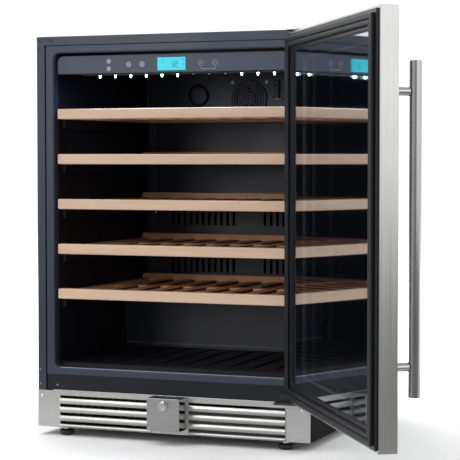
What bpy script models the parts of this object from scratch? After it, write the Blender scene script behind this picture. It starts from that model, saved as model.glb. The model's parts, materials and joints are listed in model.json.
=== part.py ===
# Undercounter wine cooler with its glass door open, modelled in metres with +Z up.
# X runs to the right, Y from the cabinet's front plane to its back, Z up from the floor.
# The door is modelled closed, in the frame of an empty on its hinge axis that swings it open.
import math

import bmesh
import bpy
from mathutils import Matrix, Vector

# Cabinet
WIDTH = 0.595
HEIGHT = 0.820
DEPTH = 0.525
SHEET = 0.0012
GAP = 0.0003
FLANGE = 0.0195
PAN_BOTTOM = 0.017
KICK_TOP = 0.0925
KICK_RISE = 0.002
KICK_MIDDLE = 0.262
SILL_TOP = 0.1265
HALF = WIDTH / 2

# Inside
WALL = 0.0394
OPEN_HALF = HALF - WALL
OPEN_BOTTOM = 0.141
OPEN_TOP = 0.785
OPEN_RADIUS = 0.012
LINER = 0.002
FLOOR = 0.150
STEP_FRONT = 0.3445
STEP_TOP = 0.262
REAR_WALL = 0.450
LINER_FRONT = 0.0205
FLANGE_TOP = HEIGHT - FLANGE - 0.0002

# Shelves
SHELVES = 5
SHELF_TOP = 0.672
SHELF_PITCH = 0.0923
BOARD_HALF = 0.254
BOARD_HEIGHT = 0.0208
BOARD_FRONT = 0.0068
BOARD_THICK = 0.020
RACK_HALF = 0.250
RACK_BACK = 0.436
BACK_BOARD_RISE = 0.006
SLATS = 8
SLAT_PITCH = 0.053
SLAT_WIDTH = 0.030
LEDGE_REACH = 0.0105
LEDGE_HEIGHT = 0.019

# Controls
PANEL_BOTTOM = 0.743
PANEL_TOP = 0.780
PANEL_FRONT = 0.010
PANEL_BACK = 0.040
PANEL_HALF = 0.2545
KEY_HEIGHT = 0.760
KEY_RADIUS = 0.0062
KEY_PLACES = {"power": -0.0933, "light": -0.0637, "plus": 0.065, "minus": 0.095}
DISPLAY_WIDTH = 0.0606
DISPLAY_HEIGHT = 0.0258

# Door
DOOR_OPEN = math.radians(123.3)
DOOR_BOTTOM = 0.1015
DOOR_TOP = 0.8125
DOOR_BACK = -0.012
DOOR_THICK = 0.032
DOOR_BORDER = 0.040
PIVOT = Vector((HALF - 0.014, DOOR_BACK - 0.0169, 0))
GLASS = 0.004
GLASS_OUTER = 0.002
GLASS_INNER = 0.002
HANDLE_RADIUS = 0.010
HANDLE_IN = 0.039
HANDLE_OFF = 0.040
HANDLE_BOTTOM = 0.185
HANDLE_TOP = 0.728
POST_HEIGHTS = (0.235, 0.678)
POST_RADIUS = 0.0075
PIN_HALF = 0.003

# Lock
LOCK_X = 0.0015
LOCK_HALF = 0.0355
LOCK_BOTTOM = 0.0285
LOCK_TOP = 0.094
LOCK_FRONT = -0.0385
LOCK_AXIS = 0.0787
CAM_REACH = 0.0285
CAM_HALF = 0.005
CAM_NEAR = 0.016
CAM_FAR = 0.020
CAM_CLEAR = 0.001
LOCK_SLOT = (LOCK_X - 0.008, LOCK_X + 0.028)
STRIKE = (LOCK_X - 0.008, LOCK_X + 0.021)

# Where the mains cord leaves the back
GLAND_X = 0.180
GLAND_HEIGHT = 0.060

# Feet
FOOT_RADIUS = 0.0155
FOOT_IN = 0.057
FOOT_FRONT = 0.020
FOOT_REAR = 0.495
STEM_RADIUS = 0.005

# Slot: base colour, metallic, roughness
MATERIALS = {
    "satin_black": ((0.035, 0.037, 0.045), 0.3, 0.42),
    "stainless": ((0.62, 0.61, 0.59), 1.0, 0.28),
    "moulded_black": ((0.022, 0.023, 0.030), 0.0, 0.45),
    "panel_grey": ((0.075, 0.078, 0.092), 0.0, 0.40),
    "beech": ((0.72, 0.48, 0.33), 0.0, 0.50),
    "tinted_glass": ((0.10, 0.11, 0.12), 0.0, 0.05),
    "display": ((0.05, 0.72, 0.90), 0.0, 0.20),
    "key_grey": ((0.55, 0.56, 0.60), 0.0, 0.35),
    "gasket_rubber": ((0.05, 0.055, 0.07), 0.0, 0.70),
    "foam": ((0.85, 0.78, 0.55), 0.0, 0.90),
    "aluminium": ((0.70, 0.71, 0.72), 1.0, 0.35),
    "foot_rubber": ((0.015, 0.015, 0.016), 0.0, 0.55),
}


def get_material(slot):
    found = bpy.data.materials.get(slot)
    if found:
        return found
    color, metallic, roughness = MATERIALS[slot]
    made = bpy.data.materials.new(slot)
    made.use_nodes = True
    shader = made.node_tree.nodes["Principled BSDF"]
    shader.inputs["Base Color"].default_value = (*color, 1)
    shader.inputs["Metallic"].default_value = metallic
    shader.inputs["Roughness"].default_value = roughness
    return made


def add_object(name, bm, slot, parent=None, place=(0, 0, 0), bevel=0.0, smooth=False):
    bmesh.ops.recalc_face_normals(bm, faces=bm.faces)
    mesh = bpy.data.meshes.new(name)
    bm.to_mesh(mesh)
    bm.free()
    if smooth:
        mesh.shade_smooth()
        mesh.set_sharp_from_angle(angle=math.radians(35))
    mesh.materials.append(get_material(slot))
    made = bpy.data.objects.new(name, mesh)
    bpy.context.collection.objects.link(made)
    made.parent = parent
    made.location = place
    if bevel:
        rounding = made.modifiers.new("edges", "BEVEL")
        rounding.width = bevel
        rounding.segments = 2
        rounding.limit_method = "ANGLE"
    return made


def add_empty(name, place, angle=0.0):
    made = bpy.data.objects.new(name, None)
    bpy.context.collection.objects.link(made)
    made.location = place
    made.rotation_euler = (0, 0, angle)
    return made


def holds(boxes, point):
    return any(all(low < value < high for low, high, value in zip(box[::2], box[1::2], point))
               for box in boxes)


# One closed body from boxes (x0, x1, y0, y1, z0, z1) less the cuts. The boxes' planes divide
# space into cells, and a face is made wherever a filled cell meets an empty one.
def block(name, slot, boxes, cuts=(), **options):
    planes = [sorted({round(b[axis * 2 + side], 7) for b in [*boxes, *cuts] for side in (0, 1)})
              for axis in range(3)]
    middles = [[(a + b) / 2 for a, b in zip(p, p[1:])] for p in planes]
    filled = {
        (i, j, k)
        for i, x in enumerate(middles[0])
        for j, y in enumerate(middles[1])
        for k, z in enumerate(middles[2])
        if holds(boxes, (x, y, z)) and not holds(cuts, (x, y, z))
    }
    bm = bmesh.new()
    points = {}

    def corner(i, j, k):
        if (i, j, k) not in points:
            points[i, j, k] = bm.verts.new((planes[0][i], planes[1][j], planes[2][k]))
        return points[i, j, k]

    for cell in filled:
        for axis in range(3):
            for side in (0, 1):
                beside = list(cell)
                beside[axis] += 2 * side - 1
                if tuple(beside) in filled:
                    continue
                one, two = [a for a in range(3) if a != axis]
                loop = []
                for across, along in ((0, 0), (1, 0), (1, 1), (0, 1)):
                    spot = list(cell)
                    spot[axis] += side
                    spot[one] += across
                    spot[two] += along
                    loop.append(corner(*spot))
                bm.faces.new(loop)
    bmesh.ops.recalc_face_normals(bm, faces=bm.faces)
    bmesh.ops.dissolve_limit(bm, angle_limit=math.radians(1), verts=bm.verts, edges=bm.edges)
    return add_object(name, bm, slot, **options)


def rounded_outline(half, bottom, top, radius, steps=5):
    corners = ((half, top, 0), (-half, top, 90), (-half, bottom, 180), (half, bottom, 270))
    outline = []
    for x, z, start in corners:
        centre = Vector((x - math.copysign(radius, x), z + (radius if z == bottom else -radius)))
        for step in range(steps + 1):
            angle = math.radians(start + 90 * step / steps)
            outline.append(centre + radius * Vector((math.cos(angle), math.sin(angle))))
    return outline


# A frame between two outlines with the same number of points, from y0 to y1.
def frame_ring(name, slot, outer, inner, y0, y1, shift=0.0, **options):
    bm = bmesh.new()
    loops = [[bm.verts.new((p.x + shift, y, p.y)) for p in outline]
             for outline, y in ((outer, y0), (inner, y0), (inner, y1), (outer, y1))]
    for a, b in zip(loops, loops[1:] + loops[:1]):
        for i in range(len(a)):
            j = (i + 1) % len(a)
            bm.faces.new((a[i], a[j], b[j], b[i]))
    return add_object(name, bm, slot, **options)


def plate(name, slot, outline, y0, y1, shift=0.0, **options):
    bm = bmesh.new()
    face = bm.faces.new([bm.verts.new((p.x + shift, y0, p.y)) for p in outline])
    grown = bmesh.ops.extrude_face_region(bm, geom=[face])
    bmesh.ops.translate(bm, vec=(0, y1 - y0, 0),
                        verts=[v for v in grown["geom"] if isinstance(v, bmesh.types.BMVert)])
    return add_object(name, bm, slot, **options)


# A solid turned about the axis through place; the profile is (radius, distance along it).
def turned(name, slot, profile, axis, place, segments=32, **options):
    bm = bmesh.new()
    rings = []
    for radius, along in profile:
        rings.append([bm.verts.new((radius * math.cos(2 * math.pi * i / segments),
                                    radius * math.sin(2 * math.pi * i / segments), along))
                      for i in range(segments)])
    for a, b in zip(rings, rings[1:]):
        for i in range(segments):
            j = (i + 1) % segments
            bm.faces.new((a[i], a[j], b[j], b[i]))
    bm.faces.new(rings[0])
    bm.faces.new(rings[-1])
    turn = Vector((0, 0, 1)).rotation_difference(Vector(axis)).to_matrix().to_4x4()
    bmesh.ops.transform(bm, matrix=turn, verts=bm.verts)
    return add_object(name, bm, slot, place=place, smooth=True, **options)


def washer(name, slot, outer, inner, y0, y1, place, segments=32, **options):
    loops = [[radius * Vector((math.cos(2 * math.pi * i / segments),
                               math.sin(2 * math.pi * i / segments)))
              for i in range(segments)] for radius in (outer, inner)]
    return frame_ring(name, slot, *loops, y0, y1, place=place, smooth=True, **options)


# An impeller: an outline of hub and blades, pushed out from y0 to y1.
def impeller(name, slot, hub, tip, blades, y0, y1, place):
    outline = []
    width = 2 * math.pi / blades
    for blade in range(blades):
        for share, radius in ((0.0, hub), (0.06, tip), (0.22, tip), (0.38, tip), (0.50, hub),
                              (0.75, hub)):
            angle = width * (blade + share)
            outline.append(radius * Vector((math.cos(angle), math.sin(angle))))
    return plate(name, slot, outline, y0, y1, place=place)


def cut(target, cutter):
    cutter.hide_render = True
    cutter.display_type = "WIRE"
    cutting = target.modifiers.new("cut", "BOOLEAN")
    cutting.operation = "DIFFERENCE"
    cutting.object = cutter


def bore(target, name, radius, start, length, axis, parent=None):
    cutter = turned(name, "moulded_black", ((radius, 0), (radius, length)), axis, start, 24,
                    parent=parent)
    cut(target, cutter)


def mirrored(x0, x1, y0, y1, z0, z1, side):
    return (min(side * x0, side * x1), max(side * x0, side * x1), y0, y1, z0, z1)


def build_cabinet_skin():
    for name, side in (("left", -1), ("right", 1)):
        block(f"side_panel_{name}", "satin_black", [
            mirrored(HALF - SHEET, HALF, 0, DEPTH, KICK_TOP + GAP, HEIGHT - SHEET - GAP, side),
            mirrored(HALF - SHEET, HALF, SHEET * 1.5, DEPTH, PAN_BOTTOM, HEIGHT - SHEET - GAP, side),
            mirrored(HALF - FLANGE, HALF, 0, SHEET, KICK_TOP + GAP, HEIGHT - FLANGE - GAP, side),
        ], [
            mirrored(HALF - SHEET - GAP, HALF + GAP, -GAP, SHEET + GAP,
                     HEIGHT - FLANGE - GAP, HEIGHT, side),
        ])
    block("top_panel", "satin_black", [
        (-HALF, HALF, 0, DEPTH, HEIGHT - SHEET, HEIGHT),
        (-HALF, HALF, 0, SHEET, HEIGHT - FLANGE, HEIGHT),
    ])
    inside = HALF - SHEET - GAP
    block("rear_panel", "satin_black", [
        (-inside, inside, DEPTH - SHEET, DEPTH, STEP_TOP - 0.030, HEIGHT - SHEET - GAP),
    ])
    cover = block("machine_cover", "satin_black", [
        (-inside, inside, DEPTH - SHEET, DEPTH, PAN_BOTTOM + 0.004, STEP_TOP - 0.030 - GAP),
    ], [
        (-0.200, 0.060, DEPTH - 0.010, DEPTH + 0.010, 0.070 + row * 0.022, 0.078 + row * 0.022)
        for row in range(6)
    ])
    bore(cover, "gland_hole", 0.0073, (GLAND_X, DEPTH - 0.005, GLAND_HEIGHT), 0.010, (0, 1, 0))
    pan = block("base_pan", "satin_black", [
        (-inside, inside, SHEET * 1.5, DEPTH - SHEET - GAP, PAN_BOTTOM, PAN_BOTTOM + 0.0015),
        (-inside, inside, DEPTH - 0.004, DEPTH - SHEET - GAP, PAN_BOTTOM, PAN_BOTTOM + 0.012),
    ])
    return pan


def build_front():
    outer = HALF - FLANGE - 0.0022
    square = rounded_outline(outer, SILL_TOP, FLANGE_TOP, 0.0004)
    opening = rounded_outline(OPEN_HALF, OPEN_BOTTOM, OPEN_TOP, OPEN_RADIUS)
    frame_ring("liner_flange", "moulded_black", square, opening, GAP, LINER_FRONT - GAP)
    block("front_sill", "satin_black", [
        (-outer, outer, GAP, 0.012, KICK_TOP + KICK_RISE + GAP, SILL_TOP - 0.0005),
    ])
    slots = []
    for row in range(4):
        top = 0.0831 - row * 0.0179
        slots += [(-0.2461, -0.041, -0.01, 0.01, top - 0.005, top),
                  (0.041, 0.2461, -0.01, 0.01, top - 0.005, top)]
    block("kickplate", "stainless", [
        (-HALF, HALF, 0, SHEET, PAN_BOTTOM, KICK_TOP),
        (-KICK_MIDDLE, KICK_MIDDLE, 0, SHEET, PAN_BOTTOM, KICK_TOP + KICK_RISE),
    ], slots)


def build_lock():
    wall = 0.0015
    box = block("lock_box", "stainless", [
        (LOCK_X - LOCK_HALF, LOCK_X + LOCK_HALF, LOCK_FRONT, -GAP, LOCK_BOTTOM, LOCK_TOP),
    ], [
        (LOCK_X - LOCK_HALF + wall, LOCK_X + LOCK_HALF - wall, LOCK_FRONT + wall, 0.01,
         LOCK_BOTTOM + wall, LOCK_TOP - wall),
        (*LOCK_SLOT, LOCK_FRONT + CAM_NEAR - CAM_CLEAR, LOCK_FRONT + CAM_FAR + CAM_CLEAR,
         LOCK_TOP - 0.01, LOCK_TOP + 0.01),
    ])
    bore(box, "lock_hole", 0.0084, (LOCK_X, LOCK_FRONT - 0.002, LOCK_AXIS), 0.006, (0, 1, 0))
    axis = (LOCK_X, LOCK_FRONT, LOCK_AXIS)
    barrel = turned("lock_cylinder", "stainless", (
        (0.0078, -0.0080), (0.0086, -0.0072), (0.0086, -0.0030), (0.0095, -0.0024),
        (0.0095, -GAP), (0.0080, -GAP), (0.0080, 0.0170),
    ), (0, 1, 0), axis, 28)
    cam = block("cam_shape", "stainless",
                [(-CAM_HALF, CAM_REACH, CAM_NEAR, CAM_FAR, -CAM_HALF, CAM_HALF)], place=axis)
    cam.hide_render = True
    cam.display_type = "WIRE"
    joining = barrel.modifiers.new("cam", "BOOLEAN")
    joining.operation = "UNION"
    joining.object = cam


def build_insulation():
    inside = HALF - SHEET - 2 * GAP
    hollow = OPEN_HALF + LINER + GAP
    machine_top = STEP_TOP - 0.026
    machine_front = STEP_FRONT + 0.026
    block("foam_insulation", "foam", [
        (-inside, inside, LINER_FRONT + GAP, DEPTH - SHEET - 2 * GAP,
         FLOOR - 0.022, HEIGHT - SHEET - 2 * GAP),
    ], [
        (-hollow, hollow, 0, REAR_WALL + 0.040, STEP_TOP - LINER - GAP, OPEN_TOP + LINER + GAP),
        (-hollow, hollow, 0, STEP_FRONT + LINER + GAP, FLOOR - LINER - GAP, STEP_TOP),
        (-hollow, hollow, 0, LINER_FRONT + LINER + GAP, OPEN_BOTTOM - LINER - GAP, STEP_TOP),
        (-HALF, HALF, machine_front, DEPTH, 0, machine_top),
    ])


def shelf_height(index):
    return SHELF_TOP - index * SHELF_PITCH


def build_liner():
    for name, side in (("left", -1), ("right", 1)):
        walls = [mirrored(OPEN_HALF, OPEN_HALF + LINER, LINER_FRONT, REAR_WALL + 0.038,
                          FLOOR - LINER, OPEN_TOP + LINER, side)]
        for index in range(SHELVES):
            top = shelf_height(index) - BOARD_HEIGHT - GAP
            walls.append(mirrored(OPEN_HALF - LEDGE_REACH, OPEN_HALF + LINER, 0.030, 0.440,
                                  top - LEDGE_HEIGHT, top, side))
        block(f"liner_{name}", "moulded_black", walls, [
            mirrored(OPEN_HALF - LINER, HALF, STEP_FRONT + LINER, DEPTH, 0, STEP_TOP - LINER, side),
        ])
    inside = OPEN_HALF - GAP
    block("liner_ceiling", "moulded_black", [
        (-inside, inside, LINER_FRONT, REAR_WALL + 0.038, OPEN_TOP, OPEN_TOP + LINER),
    ])
    ribs = [(x - 0.004, x + 0.004, 0.040, STEP_FRONT - 0.010, FLOOR - LINER, FLOOR + 0.0030)
            for x in (-0.21 + 0.030 * i for i in range(15))]
    block("liner_floor", "moulded_black", [
        (-inside, inside, LINER_FRONT, STEP_FRONT + LINER, FLOOR - LINER, FLOOR),
        (-inside, inside, LINER_FRONT, LINER_FRONT + LINER, OPEN_BOTTOM - LINER, FLOOR),
        (-inside, inside, STEP_FRONT, STEP_FRONT + LINER, FLOOR - LINER, STEP_TOP),
        (-inside, inside, STEP_FRONT, REAR_WALL + 0.038, STEP_TOP - LINER, STEP_TOP),
    ] + ribs)


def build_shelf(index):
    number = index + 1
    top = shelf_height(index)
    bottom = top - BOARD_HEIGHT
    block(f"shelf_{number}_front", "beech", [
        (-BOARD_HALF, BOARD_HALF, BOARD_FRONT, BOARD_FRONT + BOARD_THICK, bottom, top),
    ], bevel=0.0012)
    start = BOARD_FRONT + BOARD_THICK + GAP
    deck = top - 0.005
    boards = [mirrored(RACK_HALF - 0.018, RACK_HALF, start, RACK_BACK, bottom, deck, side)
              for side in (-1, 1)]
    boards.append((-RACK_HALF, RACK_HALF, RACK_BACK - 0.018, RACK_BACK, bottom,
                   top + BACK_BOARD_RISE))
    boards.append((-RACK_HALF, RACK_HALF, start, start + 0.018, bottom + 0.002, deck - 0.006))
    boards.append((-RACK_HALF, RACK_HALF, 0.225, 0.250, bottom + 0.002, deck - 0.006))
    for slat in range(SLATS):
        middle = (slat - (SLATS - 1) / 2) * SLAT_PITCH
        boards.append((middle - SLAT_WIDTH / 2, middle + SLAT_WIDTH / 2, start, RACK_BACK,
                       deck - 0.009, deck - 0.001))
    block(f"shelf_{number}_rack", "beech", boards)


def build_controls():
    panel = block("control_panel", "panel_grey", [
        (-PANEL_HALF, PANEL_HALF, PANEL_FRONT, PANEL_BACK, PANEL_BOTTOM, PANEL_TOP),
    ], [
        (-DISPLAY_WIDTH / 2 - GAP, DISPLAY_WIDTH / 2 + GAP, 0, PANEL_FRONT + 0.004,
         KEY_HEIGHT - DISPLAY_HEIGHT / 2 - GAP, KEY_HEIGHT + DISPLAY_HEIGHT / 2 + GAP),
    ])
    block("display_window", "display", [
        (-DISPLAY_WIDTH / 2, DISPLAY_WIDTH / 2, PANEL_FRONT - 0.0003, PANEL_FRONT + 0.0037,
         KEY_HEIGHT - DISPLAY_HEIGHT / 2, KEY_HEIGHT + DISPLAY_HEIGHT / 2),
    ])
    for name, x in KEY_PLACES.items():
        place = (x, PANEL_FRONT, KEY_HEIGHT)
        bore(panel, f"key_hole_{name}", KEY_RADIUS + 0.0003,
             (x, PANEL_FRONT - 0.001, KEY_HEIGHT), 0.0055, (0, 1, 0))
        turned(f"key_{name}", "key_grey", (
            (KEY_RADIUS - 0.0003, -0.0012), (KEY_RADIUS, -0.0009), (KEY_RADIUS, 0.0030),
        ), (0, 1, 0), place, 24)
    block("led_strip", "aluminium", [
        (-0.200, 0.240, 0.014, 0.032, PANEL_BOTTOM - 0.0050, PANEL_BOTTOM - GAP),
    ])


def build_air_system():
    inside = OPEN_HALF - 0.0045
    slots = []
    for low in (0.312, 0.419):
        for step in range(11):
            for x in (-0.1870 + 0.0149 * step, 0.0372 + 0.0149 * step):
                slots.append((x - 0.0025, x + 0.0025, 0.4, 0.5, low, low + 0.045))
    cover = block("air_duct_cover", "moulded_black", [
        (-inside, inside, REAR_WALL, REAR_WALL + 0.002, STEP_TOP + GAP, OPEN_TOP - GAP),
    ], slots)
    fan = Vector((0, REAR_WALL, 0.7045))
    bore(cover, "fan_hole", 0.037, fan - Vector((0, 0.004, 0)), 0.010, (0, 1, 0))
    washer("fan_grille", "moulded_black", 0.043, 0.010, -0.0040, -GAP, fan, 40)
    turned("fan_housing", "moulded_black", (
        (0.006, 0.0130), (0.006, 0.0145), (0.0365, 0.0145), (0.0365, 0.0024),
        (0.040, 0.0024), (0.040, 0.0175),
    ), (0, 1, 0), fan)
    impeller("circulation_fan", "moulded_black", 0.012, 0.034, 7, 0.0035, 0.0125, fan)
    fins = [(-0.200 + 0.020 * i, -0.1984 + 0.020 * i, REAR_WALL + 0.018, REAR_WALL + 0.036,
             0.480, 0.640) for i in range(21)]
    block("evaporator", "aluminium", fins + [
        (-0.205, 0.205, REAR_WALL + 0.023, REAR_WALL + 0.031, z, z + 0.008)
        for z in (0.500, 0.550, 0.600)
    ])
    turned("charcoal_filter", "moulded_black", (
        (0.0245, -GAP), (0.0245, -0.0050), (0.0225, -0.0075), (0.0195, -0.0060), (0.0185, -0.0068),
    ), (0, 1, 0), (-0.1226, REAR_WALL, 0.7130), 36)
    block("temperature_sensor", "key_grey", [
        (0.052, 0.080, REAR_WALL - 0.010, REAR_WALL - GAP, 0.701, 0.705),
        (0.064, 0.068, REAR_WALL - 0.010, REAR_WALL - 0.006, 0.701, 0.742),
        (0.060, 0.072, REAR_WALL - 0.010, REAR_WALL - GAP, 0.738, 0.744),
    ])


def build_machine():
    pan = PAN_BOTTOM + 0.0015 + GAP
    turned("compressor", "satin_black", (
        (0.046, 0.0), (0.056, 0.006), (0.060, 0.020), (0.060, 0.095), (0.055, 0.120),
        (0.040, 0.138), (0.018, 0.146),
    ), (0, 0, 1), (0.150, 0.437, pan), 32)
    hub = Vector((-0.154, 0.078, pan + 0.034))
    block("condenser", "aluminium", [
        (-0.250 + 0.016 * i, -0.2484 + 0.016 * i, 0.030, 0.064, pan, pan + 0.066)
        for i in range(13)
    ] + [
        (-0.256, -0.052, 0.040, 0.052, z, z + 0.008) for z in (0.030, 0.050, 0.070)
    ] + [
        (hub.x + x - 0.002, hub.x + x + 0.002, 0.044, 0.0945, 0.050, 0.058) for x in (-0.036, 0.036)
    ] + [
        (hub.x - 0.038, hub.x + 0.038, 0.0915, 0.0945, 0.050, 0.058),
    ])
    impeller("condenser_fan", "moulded_black", 0.011, 0.030, 5, 0.0, 0.012, hub)
    block("drip_tray", "moulded_black", [(-0.230, 0.040, 0.400, 0.500, pan, pan + 0.030)],
          [(-0.228, 0.038, 0.402, 0.498, pan + 0.002, pan + 0.050)])
    turned("cord_gland", "foot_rubber", (
        (0.0070, -0.014), (0.0070, GAP), (0.0120, GAP), (0.0120, 0.003), (0.0070, 0.008),
    ), (0, 1, 0), (GLAND_X, DEPTH, GLAND_HEIGHT), 24)


def build_hinges():
    tip = PIVOT.y - 0.014
    upper = DOOR_TOP + 0.0015
    lower = DOOR_BOTTOM - 0.0020
    pin = (PIVOT.x - PIN_HALF, PIVOT.x + PIN_HALF, PIVOT.y - PIN_HALF, PIVOT.y + PIN_HALF)
    block("hinge_bracket_upper", "satin_black", [
        (0.262, HALF - 0.001, tip, -GAP, upper, upper + 0.0030),
        (0.262, HALF - 0.001, -0.0040, -GAP, upper, HEIGHT - 0.0008),
        (*pin, upper - 0.0080, upper),
    ])
    block("hinge_bracket_lower", "satin_black", [
        (0.236, HALF - 0.001, tip, -GAP, lower - 0.0045, lower),
        (0.236, HALF - 0.001, -0.0033, -GAP, lower - 0.0045, lower + 0.0100),
        (*pin, lower, lower + 0.0100),
    ])


def build_door():
    hinge = add_empty("door_hinge", PIVOT, DOOR_OPEN)
    middle = -PIVOT.x
    back = DOOR_BACK - PIVOT.y
    front = back - DOOR_THICK
    shell = rounded_outline(HALF, DOOR_BOTTOM, DOOR_TOP, 0.0015)
    window = rounded_outline(HALF - DOOR_BORDER, DOOR_BOTTOM + DOOR_BORDER,
                             DOOR_TOP - DOOR_BORDER, 0.008)
    frame = frame_ring("door_frame", "stainless", shell, window, front, back, middle, parent=hinge)
    for name, z in (("upper", DOOR_TOP - 0.009), ("lower", DOOR_BOTTOM - 0.002)):
        bore(frame, f"pin_hole_{name}", 0.0047, (0, 0, z), 0.011, (0, 0, 1), hinge)
    strike = block("strike_slot", "stainless", [
        (middle + STRIKE[0], middle + STRIKE[1], LOCK_FRONT + CAM_NEAR - CAM_CLEAR - PIVOT.y,
         LOCK_FRONT + CAM_FAR + CAM_CLEAR - PIVOT.y, DOOR_BOTTOM - 0.01, DOOR_BOTTOM + 0.010),
    ], parent=hinge)
    cut(frame, strike)
    liner_outer = rounded_outline(HALF - 0.0045, DOOR_BOTTOM + 0.0045, DOOR_TOP - 0.0045, 0.002)
    frame_ring("door_liner", "moulded_black", liner_outer, window, back + GAP, back + 0.005,
               middle, parent=hinge)
    gasket_outer = rounded_outline(HALF - 0.0105, DOOR_BOTTOM + 0.0105, DOOR_TOP - 0.0105, 0.004)
    gasket_inner = rounded_outline(HALF - 0.030, DOOR_BOTTOM + 0.030, DOOR_TOP - 0.030, 0.004)
    frame_ring("door_gasket", "gasket_rubber", gasket_outer, gasket_inner,
               back + 0.005 + GAP, back - DOOR_BACK - GAP, middle, parent=hinge)
    pane = rounded_outline(HALF - DOOR_BORDER - GAP, DOOR_BOTTOM + DOOR_BORDER + GAP,
                           DOOR_TOP - DOOR_BORDER - GAP, 0.0077)
    outer_pane = front + GLASS_OUTER
    inner_pane = back + GLASS_INNER - GLASS
    plate("glass_outer", "tinted_glass", pane, outer_pane, outer_pane + GLASS, middle, parent=hinge)
    plate("glass_inner", "tinted_glass", pane, inner_pane, inner_pane + GLASS, middle, parent=hinge)
    spacer = rounded_outline(HALF - DOOR_BORDER - 0.010, DOOR_BOTTOM + DOOR_BORDER + 0.010,
                             DOOR_TOP - DOOR_BORDER - 0.010, 0.006)
    frame_ring("glass_spacer", "aluminium", pane, spacer, outer_pane + GLASS + GAP,
               inner_pane - GAP, middle, parent=hinge)
    x = middle - HALF + HANDLE_IN
    y = front - HANDLE_OFF
    turned("handle_bar", "stainless", (
        (HANDLE_RADIUS - 0.0015, 0), (HANDLE_RADIUS, 0.0015),
        (HANDLE_RADIUS, HANDLE_TOP - HANDLE_BOTTOM - 0.0015),
        (HANDLE_RADIUS - 0.0015, HANDLE_TOP - HANDLE_BOTTOM),
    ), (0, 0, 1), (x, y, HANDLE_BOTTOM), 32, parent=hinge)
    reach = HANDLE_OFF - HANDLE_RADIUS - GAP
    for name, z in zip(("lower", "upper"), POST_HEIGHTS):
        turned(f"handle_post_{name}", "stainless", ((POST_RADIUS, 0), (POST_RADIUS, reach - GAP)),
               (0, -1, 0), (x, front - GAP, z), 24, parent=hinge)


def build_feet(pan):
    for depth_name, y in (("front", FOOT_FRONT), ("rear", FOOT_REAR)):
        for side_name, side in (("left", -1), ("right", 1)):
            place = (side * (HALF - FOOT_IN), y, 0)
            turned(f"foot_{depth_name}_{side_name}", "foot_rubber", (
                (FOOT_RADIUS - 0.0025, 0), (FOOT_RADIUS, 0.003), (FOOT_RADIUS, 0.008),
                (FOOT_RADIUS - 0.004, 0.0115), (STEM_RADIUS, 0.0125), (STEM_RADIUS, 0.028),
            ), (0, 0, 1), place, 28)
            bore(pan, f"foot_hole_{depth_name}_{side_name}", STEM_RADIUS + 0.0005,
                 (place[0], y, PAN_BOTTOM - 0.003), 0.008, (0, 0, 1))


# The row's origin is the bottom centre of the whole object's box, with the door open.
def centre_on_floor():
    bpy.context.view_layer.update()
    graph = bpy.context.evaluated_depsgraph_get()
    corners = []
    for item in bpy.context.scene.objects:
        if item.type == "MESH" and not item.hide_render:
            solid = item.evaluated_get(graph)
            corners += [solid.matrix_world @ v.co for v in solid.data.vertices]
    low, high = [Vector([pick(c[i] for c in corners) for i in range(3)]) for pick in (min, max)]
    shift = Vector(((low.x + high.x) / 2, (low.y + high.y) / 2, low.z))
    for item in bpy.context.scene.objects:
        if item.parent is None:
            item.location -= shift


def build():
    for item in list(bpy.data.objects):
        bpy.data.objects.remove(item)
    pan = build_cabinet_skin()
    build_front()
    build_lock()
    build_insulation()
    build_liner()
    for index in range(SHELVES):
        build_shelf(index)
    build_controls()
    build_air_system()
    build_machine()
    build_hinges()
    build_door()
    build_feet(pan)
    centre_on_floor()


build()
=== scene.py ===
import json
import math

import bmesh
import bpy
from mathutils import Matrix, Vector


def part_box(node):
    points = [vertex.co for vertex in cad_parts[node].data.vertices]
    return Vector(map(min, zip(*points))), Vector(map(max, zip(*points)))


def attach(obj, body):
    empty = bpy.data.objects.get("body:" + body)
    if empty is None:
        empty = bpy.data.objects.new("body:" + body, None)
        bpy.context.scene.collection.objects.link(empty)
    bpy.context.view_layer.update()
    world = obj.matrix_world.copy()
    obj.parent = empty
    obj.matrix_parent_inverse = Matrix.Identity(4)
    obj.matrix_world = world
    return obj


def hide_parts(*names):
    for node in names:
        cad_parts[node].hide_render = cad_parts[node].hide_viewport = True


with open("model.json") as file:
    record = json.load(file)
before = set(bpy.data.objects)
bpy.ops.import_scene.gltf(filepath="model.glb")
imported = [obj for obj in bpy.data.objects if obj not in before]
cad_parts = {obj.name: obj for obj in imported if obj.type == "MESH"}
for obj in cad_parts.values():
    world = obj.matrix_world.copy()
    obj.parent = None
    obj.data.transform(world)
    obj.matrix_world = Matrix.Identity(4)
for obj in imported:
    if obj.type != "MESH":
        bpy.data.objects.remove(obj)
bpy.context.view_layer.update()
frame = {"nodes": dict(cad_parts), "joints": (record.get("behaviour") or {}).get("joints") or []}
print("frame loaded")

# The cabinet's own axes: X from its middle, Y back from its front plane, Z up from the floor.
topLow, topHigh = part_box("top_panel")
cabinetSpot = Vector(((topLow.x + topHigh.x) / 2, topLow.y, 0))
halfWidth = (topHigh.x - topLow.x) / 2
cabinetTop = topHigh.z
cabinetDepth = topHigh.y - topLow.y
toRow = Matrix.Translation(cabinetSpot)

doorJoint = next(joint for joint in frame["joints"] if joint["child"] == "door")
hingeSpot = Vector((doorJoint["pos_m"][0], doorJoint["pos_m"][1], 0))
doorOpen = math.radians(-doorJoint["range_deg"][0])
swing = (Matrix.Translation(hingeSpot) @ Matrix.Rotation(doorOpen, 4,
    "Z") @ Matrix.Translation(-hingeSpot))


def where(node):  # a CAD node's corners on the cabinet's axes
    low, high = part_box(node)
    return low - cabinetSpot, high - cabinetSpot


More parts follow.
